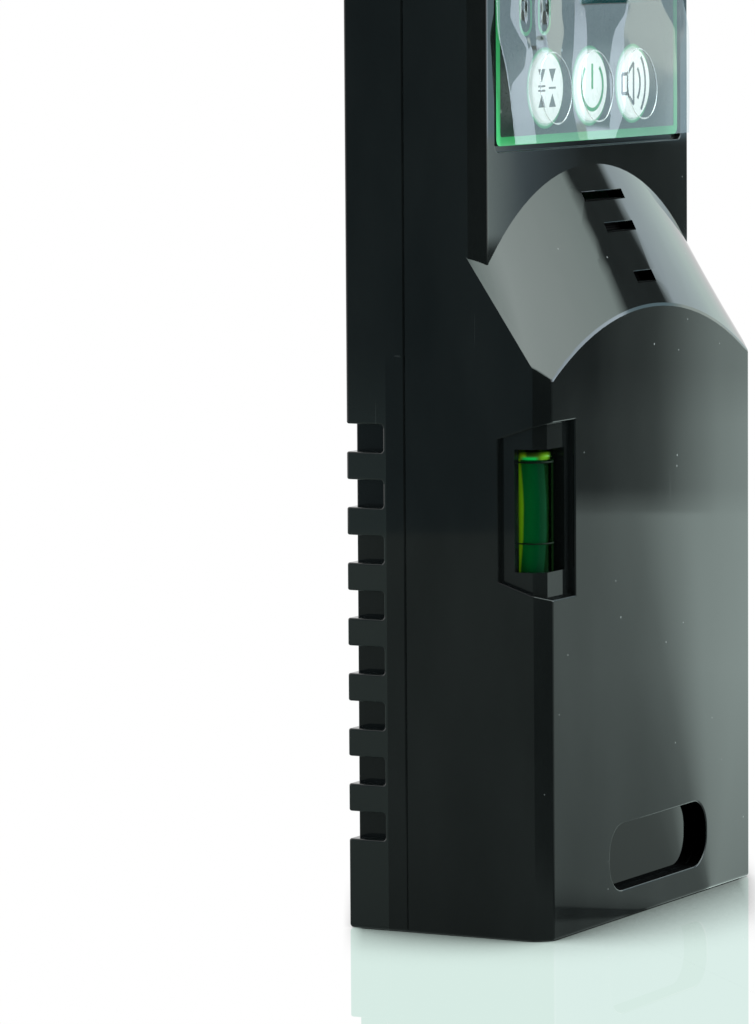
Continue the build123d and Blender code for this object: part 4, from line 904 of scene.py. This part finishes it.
# At each height: the places of the creases across the panel as the camera sees them, and their lifts off the
# panel. Film that lifts towards the right turns to the key light, film that falls turns from it.
FILM_SHAPE = {
    112.9: ((-23.9, -23.8, -17.5, -16, -15, -13, -9, -3.6, -1, 6, 8.1, 20, 30, 33.6),
            (1.7, 1.71, 2.12, 2.12, 2.12, 2.11, 2.06, 1.98, 2.15, 2.58, 2.71, 2.63, 2.53, 2.5)),
    117.4: ((-24.9, -24.8, -18.8, -16.5, -15.5, -13, -9, -5.6, -2, 6.7, 11.5, 22, 30, 33.9),
            (1.57, 1.58, 1.98, 1.98, 1.98, 1.96, 1.91, 1.85, 2.09, 2.02, 2.35, 2.25, 2.12, 2.09)),
    121.2: ((-25.9, -25.3, -20, -17, -16, -13, -9, -5.8, -1.5, 6.4, 11.4, 24.5, 29.5, 34),
            (1.43, 1.43, 1.78, 1.78, 1.78, 1.75, 1.68, 1.62, 1.91, 1.83, 2.16, 1.81, 1.7, 1.67)),
    123.6: ((-26.7, -21.5, -19, -17.2, -16.2, -13, -9.5, -6, -1.2, 6.4, 11.3, 21, 29.5, 34.1),
            (1.3, 1.3, 1.47, 1.47, 1.47, 1.47, 1.42, 1.36, 1.68, 1.62, 1.95, 1.64, 1.34, 1.31)),
    125.2: ((-27.4, -20.8, -18.5, -17.3, -15.8, -13.3, -9.4, -5.5, -1, 6.9, 11.4, 16.5, 29.3, 34.2),
            (1.16, 1.16, 1.31, 1.31, 1.34, 1.38, 1.16, 1.13, 1.44, 1.41, 1.73, 1.57, 1.07, 1.04)),
    126.4: ((-28, -20.6, -18.8, -17.3, -15.6, -13.5, -9.2, -5.3, -0.9, 7.3, 11.5, 13.5, 29.2, 34.2),
            (1.05, 1.04, 1.18, 1.17, 1.22, 1.29, 0.99, 0.97, 1.27, 1.27, 1.58, 1.52, 0.87, 0.84)),
    128.6: ((-29, -23.2, -21.4, -17.5, -15.4, -14.2, -8.4, -5, -0.9, 8.5, 11.5, 12.5, 28.9, 34),
            (0.83, 0.84, 0.96, 0.98, 1.15, 1.16, 0.73, 0.71, 1, 1.13, 1.34, 1.29, 0.5, 0.47)),
    131.0: ((-29.4, -25.5, -22.5, -17.8, -15.8, -12.8, -9, -4.8, -1.3, 11.8, 12.6, 13.6, 26, 33),
            (0.5, 0.5, 0.72, 0.66, 0.86, 0.84, 0.52, 0.5, 0.88, 0.93, 0.99, 0.95, 0.38, 0.31)),
    131.95: ((-29.4, -25.4, -22.5, -17.8, -15.8, -12.8, -9, -4.8, -1.7, 12.3, 13, 13.7, 25, 32.5),
             (0.41, 0.41, 0.63, 0.57, 0.77, 0.75, 0.42, 0.4, 0.79, 0.82, 0.88, 0.86, 0.32, 0.26)),
    132.2: ((-29.4, -25.4, -22.5, -17.8, -15.8, -12.8, -9, -4.8, -1.8, 12.4, 13.1, 13.7, 24.8, 32.4),
            (0.39, 0.39, 0.61, 0.55, 0.75, 0.73, 0.4, 0.38, 0.78, 0.79, 0.86, 0.84, 0.31, 0.25)),
    133.9: ((-29.5, -25.2, -22.3, -17.8, -15.6, -12.4, -9, -4.7, -1.8, 12.4, 13.1, 13.8, 23.5, 31.7),
            (0.24, 0.24, 0.46, 0.4, 0.58, 0.56, 0.27, 0.24, 0.93, 0.93, 0.94, 0.88, 0.22, 0.17)),
    137.0: ((-29.6, -25, -21.9, -17.8, -15.2, -12, -9, -4.6, -1.9, 12.3, 13.1, 14, 22, 31),
            (0.1, 0.1, 0.26, 0.22, 0.38, 0.34, 0.14, 0.1, 0.94, 0.94, 0.95, 0.89, 0.12, 0.1)),
}
FILM_ROUND = 12            # the one crease that is a round bend, counted from the left edge
FILM_LIP = (0.35, 0.035)   # the cut left edge: its width, and how far it turns down
FILM_CLING = 0.05          # lift where the film lies flat
FILM_SETTLED = 150.0       # up to here the highest creases narrow and flatten by these factors
FILM_NARROWS = 0.98
FILM_FLATTENS = 0.4
FILM_TOP = 165.5
# Dents over the indicators and below them: place as seen, height, half width, half height, depth
FILM_DENTS = (
    (-21.5, 132.3, 1.0, 1.4, 0.27),
    (-14.6, 132.2, 1.1, 1.6, 0.30),
    (-17.2, 127.2, 2.7, 0.9, 0.14),
)
FILM_STEP = 0.32
FILM_FACE = OVERLAY_FACE - INK_THICK      # depth of the face that the film lies on
VIEW_LEAN = VIEW_BACK.x / VIEW_BACK.y     # sideways shift, as seen, of each millimetre of lift

film_rows = {}
for height, (places, lifts) in FILM_SHAPE.items():
    lip = (places[0] - FILM_LIP[0], lifts[0] - FILM_LIP[1])
    film_rows[height] = [lip, *zip(places, lifts)]
highest = film_rows[max(FILM_SHAPE)]
film_rows[FILM_SETTLED] = [(seen * FILM_NARROWS, FILM_CLING + FILM_FLATTENS * lift) for seen, lift in highest]
film_rows[FILM_TOP] = [(seen, FILM_CLING) for seen, lift in film_rows[FILM_SETTLED]]
film_heights = sorted(film_rows)


def curve_through(levels, values, share):
    """Value between the middle two of four, on a curve that runs smoothly through all of them."""
    span = levels[2] - levels[1]
    start = span * (values[2] - values[0]) / (levels[2] - levels[0])
    end = span * (values[3] - values[1]) / (levels[3] - levels[1])
    rise = values[2] - values[1]
    bend = 3 * rise - 2 * start - end + share * (start + end - 2 * rise)
    return values[1] + share * (start + share * bend)


def film_creases(height):
    """Places and lifts of the creases at one height."""
    last = len(film_heights) - 1
    below = min(max(index for index, row in enumerate(film_heights) if row <= height), last - 1)
    levels = [film_heights[min(max(below + step, 0), last)] for step in (-1, 0, 1, 2)]
    share = (height - levels[1]) / (levels[2] - levels[1])
    creases = []
    for points in zip(*(film_rows[level] for level in levels)):
        seen, lift = (curve_through(levels, values, share) for values in zip(*points))
        creases.append((seen, max(lift, FILM_CLING / 2)))
    return creases


def film_dent(seen, height):
    """How deep the film is dented at a place; a dent has a flat floor from side to side."""
    depth = 0.0
    for middle, level, half_width, half_height, deepest in FILM_DENTS:
        off = ((seen - middle) / half_width) ** 8 + ((height - level) / half_height) ** 2
        depth += deepest * math.exp(-off)
    return depth


def film_lift(seen, height):
    """Lift of the film, without its dents, at a place as the camera sees it."""
    creases = film_creases(height)
    for (left_seen, left_lift), (right_seen, right_lift) in zip(creases, creases[1:]):
        if left_seen <= seen <= right_seen:
            return between(left_lift, right_lift, (seen - left_seen) / max(right_seen - left_seen, 1e-6))
    return creases[0][1] if seen < creases[0][0] else creases[-1][1]


columns = []
last_crease = len(highest) - 1
for index in range(last_crease):
    widest = max(row[index + 1][0] - row[index][0] for row in film_rows.values())
    steps = max(1, round(widest / FILM_STEP))
    columns += [(index, step / steps) for step in range(steps)]
columns.append((last_crease, 0.0))
rows = round((film_heights[-1] - film_heights[0]) / FILM_STEP)

tool = bmesh.new()
grid = []
for row in range(rows + 1):
    height = min(between(film_heights[0], film_heights[-1], row / rows), film_heights[-1])
    creases = film_creases(height) + [(0.0, 0.0)]
    line = []
    for index, share in columns:
        seen = between(creases[index][0], creases[index + 1][0], share)
        lift = between(creases[index][1], creases[index + 1][1], share) - film_dent(seen, height)
        line.append(tool.verts.new(Vector((seen - VIEW_LEAN * lift, FILM_FACE - lift, height)) * MM))
    grid.append(line)
skin(tool, grid, closed=False)
for column, (index, share) in enumerate(columns):
    if share == 0.0 and index != FILM_ROUND:
        for low_line, high_line in zip(grid, grid[1:]):
            tool.edges.get((low_line[column], high_line[column])).smooth = False
film = new_piece("shipping_film", tool, LOOKS["clear_film"], "case")
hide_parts("protective_film")

# Rings that the keys have pressed into the film

PRESSED_RADIUS = 5.15
PRESSED_WIDTH = 0.22
PRESSED_HEIGHT = 0.1
PRESSED_GAP = 0.02         # between a ring's edges and the film
PRESSED_LIFT = 1.9         # about how far the film stands off the panel there
PRESSED_STEPS = 96
PRESSED_SHIFTS = (0.0, -1.2, -1.0)     # the film has crept sideways since
RING_FILM = clear_sheet("pressed_film", WHITE, 1.5, 0.36, 0.1)[0]


def pressed_ring(key_name, middle):
    """A low round ridge on the film, near the key that pressed it."""
    tool = bmesh.new()
    loops = []
    for across in (-1.0, -0.5, 0.0, 0.5, 1.0):
        ridge = PRESSED_GAP + PRESSED_HEIGHT * (1 - across**2)
        loop = []
        for x, z in circle(middle, PRESSED_RADIUS + across * PRESSED_WIDTH / 2, PRESSED_STEPS):
            lift = film_lift(x + VIEW_LEAN * PRESSED_LIFT, z) + ridge
            loop.append(tool.verts.new(Vector((x, FILM_FACE - lift, z)) * MM))
        loops.append(loop)
    skin(tool, loops)
    return new_piece(f"film_ring_{key_name}", tool, RING_FILM, "case")


for key_name, (x, z), shift in zip(KEY_NAMES, key_middles, PRESSED_SHIFTS):
    pressed_ring(key_name, (x + shift, z))

# Display: the faint shapes of its unlit segments, a level bar between two stacks of arrows

LCD_LOW, LCD_HIGH = in_mm("lcd_panel")
LCD_MIDDLE = (LCD_LOW + LCD_HIGH) / 2
ARROW_HALF = 5.2
ARROW_RISE = 2.2
ARROW_WIDTH = 1.1
ARROW_STARTS = (2.4, 5.0, 7.6)

lines = [[(-ARROW_HALF, 0), (ARROW_HALF, 0)]]
for up in (1, -1):
    for start in ARROW_STARTS:
        tip, wing = up * start, up * (start + ARROW_RISE)
        lines.append([(-ARROW_HALF, wing), (0, tip), (ARROW_HALF, wing)])
segments = moved([stroke(line, ARROW_WIDTH) for line in lines], (LCD_MIDDLE.x, LCD_MIDDLE.z))
print_shapes("display_segments", segments, LCD_LOW.y, SEGMENT_INK, "case")

# Battery: plus and minus signs on the end beside its terminals

BATTERY_HIGH = in_mm("battery")[1]
SIGN_HALF = 2.0
SIGN_WIDTH = 0.9
SIGN_OFF = 6.3
SIGN_DROP = 6.5
SIGN_BARS = ((-SIGN_OFF, SIGN_HALF, 0), (-SIGN_OFF, 0, SIGN_HALF), (SIGN_OFF, SIGN_HALF, 0))

tool = bmesh.new()
level = BATTERY_HIGH.z - SIGN_DROP
for number, (off, half_x, half_z) in enumerate(SIGN_BARS):
    ends = [(off - half_x, level - half_z), (off + half_x, level + half_z)]
    add_plate(tool, [stroke(ends, SIGN_WIDTH)], BATTERY_HIGH.y + INK_THICK * number, INK_THICK)
new_piece("battery_signs", tool, DARK_INK, "case", smooth=False)

# Clamp insert: its thread is one helical ridge that stands in from the bore

INSERT_LOW, INSERT_HIGH = in_mm("clamp_insert")
INSERT_MIDDLE = (INSERT_LOW + INSERT_HIGH) / 2
THREAD_RADIUS = 3.175
THREAD_PITCH = 1.27
THREAD_DEPTH = 0.6
THREAD_BARE = 0.6          # turns left out at each end
THREAD_STEPS = 40          # sections in one turn
THREAD_RUN_OUT = THREAD_STEPS / 3     # sections in which the ridge rises at each end
THREAD_PROFILE = ((0.0, -0.47), (1.0, -0.09), (1.0, 0.09), (0.0, 0.47))     # parts of the depth and the pitch

turns = (INSERT_HIGH.y - INSERT_LOW.y) / THREAD_PITCH - 2 * THREAD_BARE
sections = round(turns * THREAD_STEPS)
tool = bmesh.new()
loops = []
for step in range(sections + 1):
    along = INSERT_HIGH.y - THREAD_PITCH * (THREAD_BARE + step / THREAD_STEPS)
    depth = THREAD_DEPTH * min(1, (step + 1) / THREAD_RUN_OUT, (sections - step + 1) / THREAD_RUN_OUT)
    loop = []
    for inward, aside in THREAD_PROFILE:
        reach = THREAD_RADIUS - depth * inward
        x, z = polar((INSERT_MIDDLE.x, INSERT_MIDDLE.z), reach, math.tau * step / THREAD_STEPS)
        loop.append(tool.verts.new(Vector((x, along + aside * THREAD_PITCH, z)) * MM))
    loops.append(loop)
skin(tool, loops)
for end in (loops[0], loops[-1]):
    tool.faces.new(end)
new_piece("clamp_thread", tool, LOOKS["insert_brass"], "case", smooth=False)

# Foam pad on the battery door: crowned towards the battery, its sides drawn in between the corners

PAD_LOW, PAD_HIGH = in_mm("battery_pad")
PAD_MIDDLE = (PAD_LOW + PAD_HIGH) / 2
PAD_HALF = (PAD_HIGH - PAD_LOW) / 2
PAD_CELLS = (28, 40)
PAD_PULL = 0.35            # how far a side draws in half way along
PAD_RIM = 0.4              # thickness at the rim, as a part of the whole
PAD_PITS = 0.06            # depth of the open cells in its face
pits = random.Random(7)


def steps_across(count):
    """Evenly spaced places from -1 to 1, one more than the count of cells between them."""
    return [2 * step / count - 1 for step in range(count + 1)]


def pad_point(across, along, crown):
    """A point of the pad; across and along run from -1 to 1, crown is 0 on the door and 1 on its face."""
    x = PAD_MIDDLE.x + across * (PAD_HALF.x - PAD_PULL * (1 - along**2))
    z = PAD_MIDDLE.z + along * (PAD_HALF.z - PAD_PULL * (1 - across**2))
    swell = between(PAD_RIM, 1.0, math.sqrt(max(0.0, (1 - across**6) * (1 - along**6))))
    pit = PAD_PITS * pits.random() if swell > PAD_RIM else 0.0
    return Vector((x, PAD_HIGH.y - crown * (2 * PAD_HALF.y * swell - pit), z)) * MM


tool = bmesh.new()
rims = []
for crown in (0, 1):
    lines = []
    for along in steps_across(PAD_CELLS[1]):
        points = [pad_point(across, along, crown) for across in steps_across(PAD_CELLS[0])]
        lines.append([tool.verts.new(point) for point in points])
    skin(tool, lines, closed=False)
    right_side = [line[-1] for line in lines[1:-1]]
    left_side = [line[0] for line in lines[-2:0:-1]]
    rims.append(lines[0] + right_side + lines[-1][::-1] + left_side)
skin(tool, rims)
pad = new_piece("foam_pad", tool, LOOKS["foam_pad"], "battery_door")
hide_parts("battery_pad")

# Surroundings: pale floor and world, two soft boxes, and a wall that only mirror reflections see

AMBIENT = 0.68
COOL = (0.82, 1.0, 0.95)
FLOOR_HALF = 15.0
FLOOR_DROP = 0.00003
FLOOR_TONE = (0.68, 0.83, 0.775)
FLOOR_GLOSS = (0.32, 0.17, 0.225)
CONTACT_REACH = 0.032
CONTACT_SHADE = (0.38, 0.9)         # how open the floor is where its shade is full, and where it is gone
CONTACT_START = (-0.001, 0.002)     # where its shade begins, from the object's left corner as seen
CONTACT_END = (-0.003, 0.001)       # where its shade ends, from the right corner


def stage_piece(name, corners, faces, material):
    """A mesh that belongs to the studio. Its own light isn't sampled."""
    material.cycles.emission_sampling = "NONE"
    mesh = bpy.data.meshes.new(name)
    mesh.from_pydata(corners, [], faces)
    mesh.materials.append(material)
    piece = bpy.data.objects.new(name, mesh)
    SCENE.collection.objects.link(piece)
    return piece


def swing(degrees, radius, height):
    """A point round the object: degrees turn from +X towards -Y."""
    angle = math.radians(degrees)
    return Vector((radius * math.cos(angle), -radius * math.sin(angle), height))


def swing_tones(spot, stops):
    """Tones round the object at given degrees of swing; a tone is a brightness or a colour."""
    parts = put(spot.id_data, "SeparateXYZ", {"Vector": spot}).outputs
    angle = math_node("ARCTAN2", times(parts["Y"], -1.0), parts["X"])
    coloured = []
    for degrees, tone in stops:
        shade = tone if isinstance(tone, tuple) else tuple(tone * part for part in COOL)
        coloured.append(((degrees + 180) / 360, shade))
    return colour_ramp(spread(angle, 0, 1, -math.pi, math.pi), coloured)


world = bpy.data.worlds.new("studio")
world.use_nodes = True
SCENE.world = world
path = put(world.node_tree, "LightPath").outputs
shown = larger(path["Is Camera Ray"], path["Is Glossy Ray"], path["Is Transmission Ray"])
background = world.node_tree.nodes["Background"]
feed(background, {"Color": WHITE, "Strength": spread(shown, AMBIENT, 1.0)})

# The floor is white acrylic: the camera sees its own tone plus a mirror image, darker where the object stands
# close. Mirror reflections of it see a tone that changes round the object, brightest towards the light on the
# right.

FLOOR_FAN = Vector((0, -0.0066, 0))     # the point from which those tones fan out
FLOOR_BRIGHTENS = (0.04, 0.3)           # distances between which they grow to their full strength
FLOOR_MIRRORED = [
    (-180, 0.28), (-110, 0.28), (-50, 0.8), (0, 1.4), (24.2, 2.0), (25.2, 1.8), (25.8, 1.6), (26.1, 1.0),
    (26.6, 0.82), (27.6, 0.66), (28.6, 0.57), (60, 0.55), (100, 0.3), (106, 0.1), (130, 0.1), (140, 0.28),
    (180, 0.28),
]

floor_material, tree, shader = new_material("floor")
tree.nodes.remove(shader)
path = put(tree, "LightPath").outputs
spot = here(tree)
near = put(tree, "AmbientOcclusion", {"Distance": CONTACT_REACH}, samples=12).outputs["AO"]
sideways = put(tree, "VectorMath", {0: spot, 1: VIEW_RIGHT}, operation="DOT_PRODUCT").outputs["Value"]
left_corner = Vector((CAD_LOW.x, CAD_HIGH.y, 0)).dot(VIEW_RIGHT)
right_corner = Vector((CAD_HIGH.x, CAD_LOW.y, 0)).dot(VIEW_RIGHT)
after_left = spread(sideways, 0, 1, *(left_corner + off for off in CONTACT_START))
before_right = spread(sideways, 1, 0, *(right_corner + off for off in CONTACT_END))
contact = times(after_left, before_right, spread(near, 1, 0, *CONTACT_SHADE))
own = put(tree, "Emission", {"Color": blend(contact, FLOOR_TONE, BLACK)}).outputs["Emission"]
gloss_tone = blend(contact, FLOOR_GLOSS, BLACK)
gloss = put(tree, "BsdfGlossy", {"Color": gloss_tone, "Roughness": 0.0}).outputs["BSDF"]
to_camera = put(tree, "AddShader", {0: own, 1: gloss}).outputs["Shader"]
diffuse = put(tree, "BsdfDiffuse", {"Color": FLOOR_TONE}).outputs["BSDF"]
lit = put(tree, "MixShader", {0: path["Is Camera Ray"], 1: diffuse, 2: to_camera}).outputs["Shader"]
away = put(tree, "VectorMath", {0: spot}, operation="LENGTH").outputs["Value"]
fanned = put(tree, "VectorMath", {0: spot, 1: FLOOR_FAN}, operation="SUBTRACT").outputs["Vector"]
glow = {"Color": swing_tones(fanned, FLOOR_MIRRORED), "Strength": spread(away, 0.72, 1.0, *FLOOR_BRIGHTENS)}
mirrored = put(tree, "Emission", glow).outputs["Emission"]
show(tree, put(tree, "MixShader", {0: path["Is Glossy Ray"], 1: lit, 2: mirrored}).outputs["Shader"])
square = ((-1, -1), (1, -1), (1, 1), (-1, 1))
floor_corners = [(x * FLOOR_HALF, y * FLOOR_HALF, -FLOOR_DROP) for x, y in square]
stage_piece("floor", floor_corners, [(0, 1, 2, 3)], floor_material)


def soft_box(name, middle, target, size, radiance):
    """A rectangular area lamp with a given brightness that faces a target. Mirrors see the wall instead."""
    data = bpy.data.lights.new(name, "AREA")
    data.shape = "RECTANGLE"
    data.size, data.size_y = size
    data.energy = radiance * math.pi * size[0] * size[1]
    lamp = bpy.data.objects.new(name, data)
    SCENE.collection.objects.link(lamp)
    lamp.location = middle
    lamp.rotation_mode = "QUATERNION"
    lamp.rotation_quaternion = (target - middle).to_track_quat("-Z", "Y")
    lamp.visible_camera = False
    lamp.visible_glossy = False


soft_box("key_box", swing(50, 0.58, 0.36), Vector((0, 0, 0.2)), size=(0.42, 0.66), radiance=6.0)
soft_box("side_box", swing(8, 0.75, 0.2), Vector((0, 0, 0.12)), size=(0.55, 0.42), radiance=2.9)

# The reflection wall in bands of height: what the lower front, the panel and the ramp mirror. Only the floor
# is a perfect mirror, and to it the wall is plain white.

WALL_RADIUS = 0.62
WALL_TOP = 1.1
WALL_STEPS = 120
SLATE = (0.62, 0.95, 1.08)
PALE = (3.0, 3.6, 4.0)
BEIGE = (1.7, 1.98, 1.85)
WARM = (3.0, 3.5, 3.35)
WARMER = (4.5, 5.2, 5.0)
SKY = (1.5, 1.8, 1.92)
DARK = 0.04
NIGHT = (0.12, 0.17, 0.185)
DUSK = (0.42, 0.56, 0.64)


def band(*stops):
    """Tones of one band, between those of the left side and the left chamfer that all bands share."""
    left_side = [(-180, NIGHT), (-140, NIGHT), (-134, WHITE), (-12, WHITE)]
    left_chamfer = [(104, DARK), (130, DARK), (150, NIGHT), (180, NIGHT)]
    return [*left_side, *stops, *left_chamfer]


HORIZON_BAND = band(
    (0, 1.4), (24.8, 2.0), (25.3, 1.8), (25.7, 1.6), (26.25, 1.4), (26.45, 0.85), (27.0, 0.68), (27.5, 0.58),
    (28.6, 0.48), (34, 0.46), (92, 0.3),
)
LOWEST_BAND = band(
    (0, 1.4), (24.8, 1.9), (25.3, 1.5), (25.7, 1.3), (26.25, 1.05), (26.45, 0.38), (27.0, 0.24), (27.5, 0.2),
    (28.1, 0.14), (28.6, 0.07), (34, 0.06), (92, 0.15),
)
LOW_BAND = band(
    (0, 1.2), (24.8, 1.36), (25.3, 1.2), (25.7, 1.0), (26.25, 0.8), (26.45, 0.3), (27.0, 0.18), (27.5, 0.05),
    (28.6, 0.02), (29.0, 0.06), (34, 0.06), (92, 0.15),
)
UNDER_PANEL_BAND = band(
    (0, 0.3), (24.6, 0.12), (25.2, 0.04), (27.7, 0.05), (28.25, DUSK), (28.6, 1.2), (28.85, 1.75), (32, 2.0),
    (60, 2.4), (92, WHITE),
)
PANEL_BAND = band(
    (0, 1.6), (12, SKY), (14, BEIGE), (21.0, BEIGE), (23.4, SLATE), (29.5, SLATE), (29.9, PALE), (60, PALE),
    (92, WHITE),
)
UPPER_PANEL_BAND = band(
    (0, 1.6), (14.2, SKY), (16.2, 0.5), (16.9, 0.06), (29.2, 0.07), (29.8, PALE), (60, PALE), (92, WHITE),
)
RAMP_BAND = band(
    (0, 1.6), (14.2, SKY), (16.2, 0.5), (16.9, 0.06), (27.6, 0.07), (28.6, 1.9), (45, WARM), (65, WARMER),
    (92, 4.0),
)
# Height at which each band begins, and the height over which it takes over from the one below
BANDS = (
    (0.0, 0.006, LOWEST_BAND),
    (0.022, 0.014, LOW_BAND),
    (0.065, 0.004, UNDER_PANEL_BAND),
    (0.092, 0.003, PANEL_BAND),
    (0.22, 0.008, UPPER_PANEL_BAND),
    (0.29, 0.01, RAMP_BAND),
)

wall_material, tree, shader = new_material("reflection_wall")
tree.nodes.remove(shader)
spot = here(tree)
height = axes(tree)["Z"]
tone = swing_tones(spot, HORIZON_BAND)
for start, soft, stops in BANDS:
    tone = blend(spread(height, 0, 1, start, start + soft), tone, swing_tones(spot, stops))
by_floor = put(tree, "LightPath").outputs["Is Singular Ray"]
show(tree, put(tree, "Emission", {"Color": blend(by_floor, tone, WHITE)}).outputs["Emission"])
corners = []
for step in range(WALL_STEPS):
    angle = 360 * step / WALL_STEPS
    corners += [swing(angle, WALL_RADIUS, -FLOOR_DROP), swing(angle, WALL_RADIUS, WALL_TOP)]
count = len(corners)
faces = [(index, (index + 2) % count, (index + 3) % count, index + 1) for index in range(0, count, 2)]
wall = stage_piece("reflection_wall", corners, faces, wall_material)
wall.visible_camera = False
wall.visible_diffuse = False
wall.visible_transmission = False
wall.visible_shadow = False
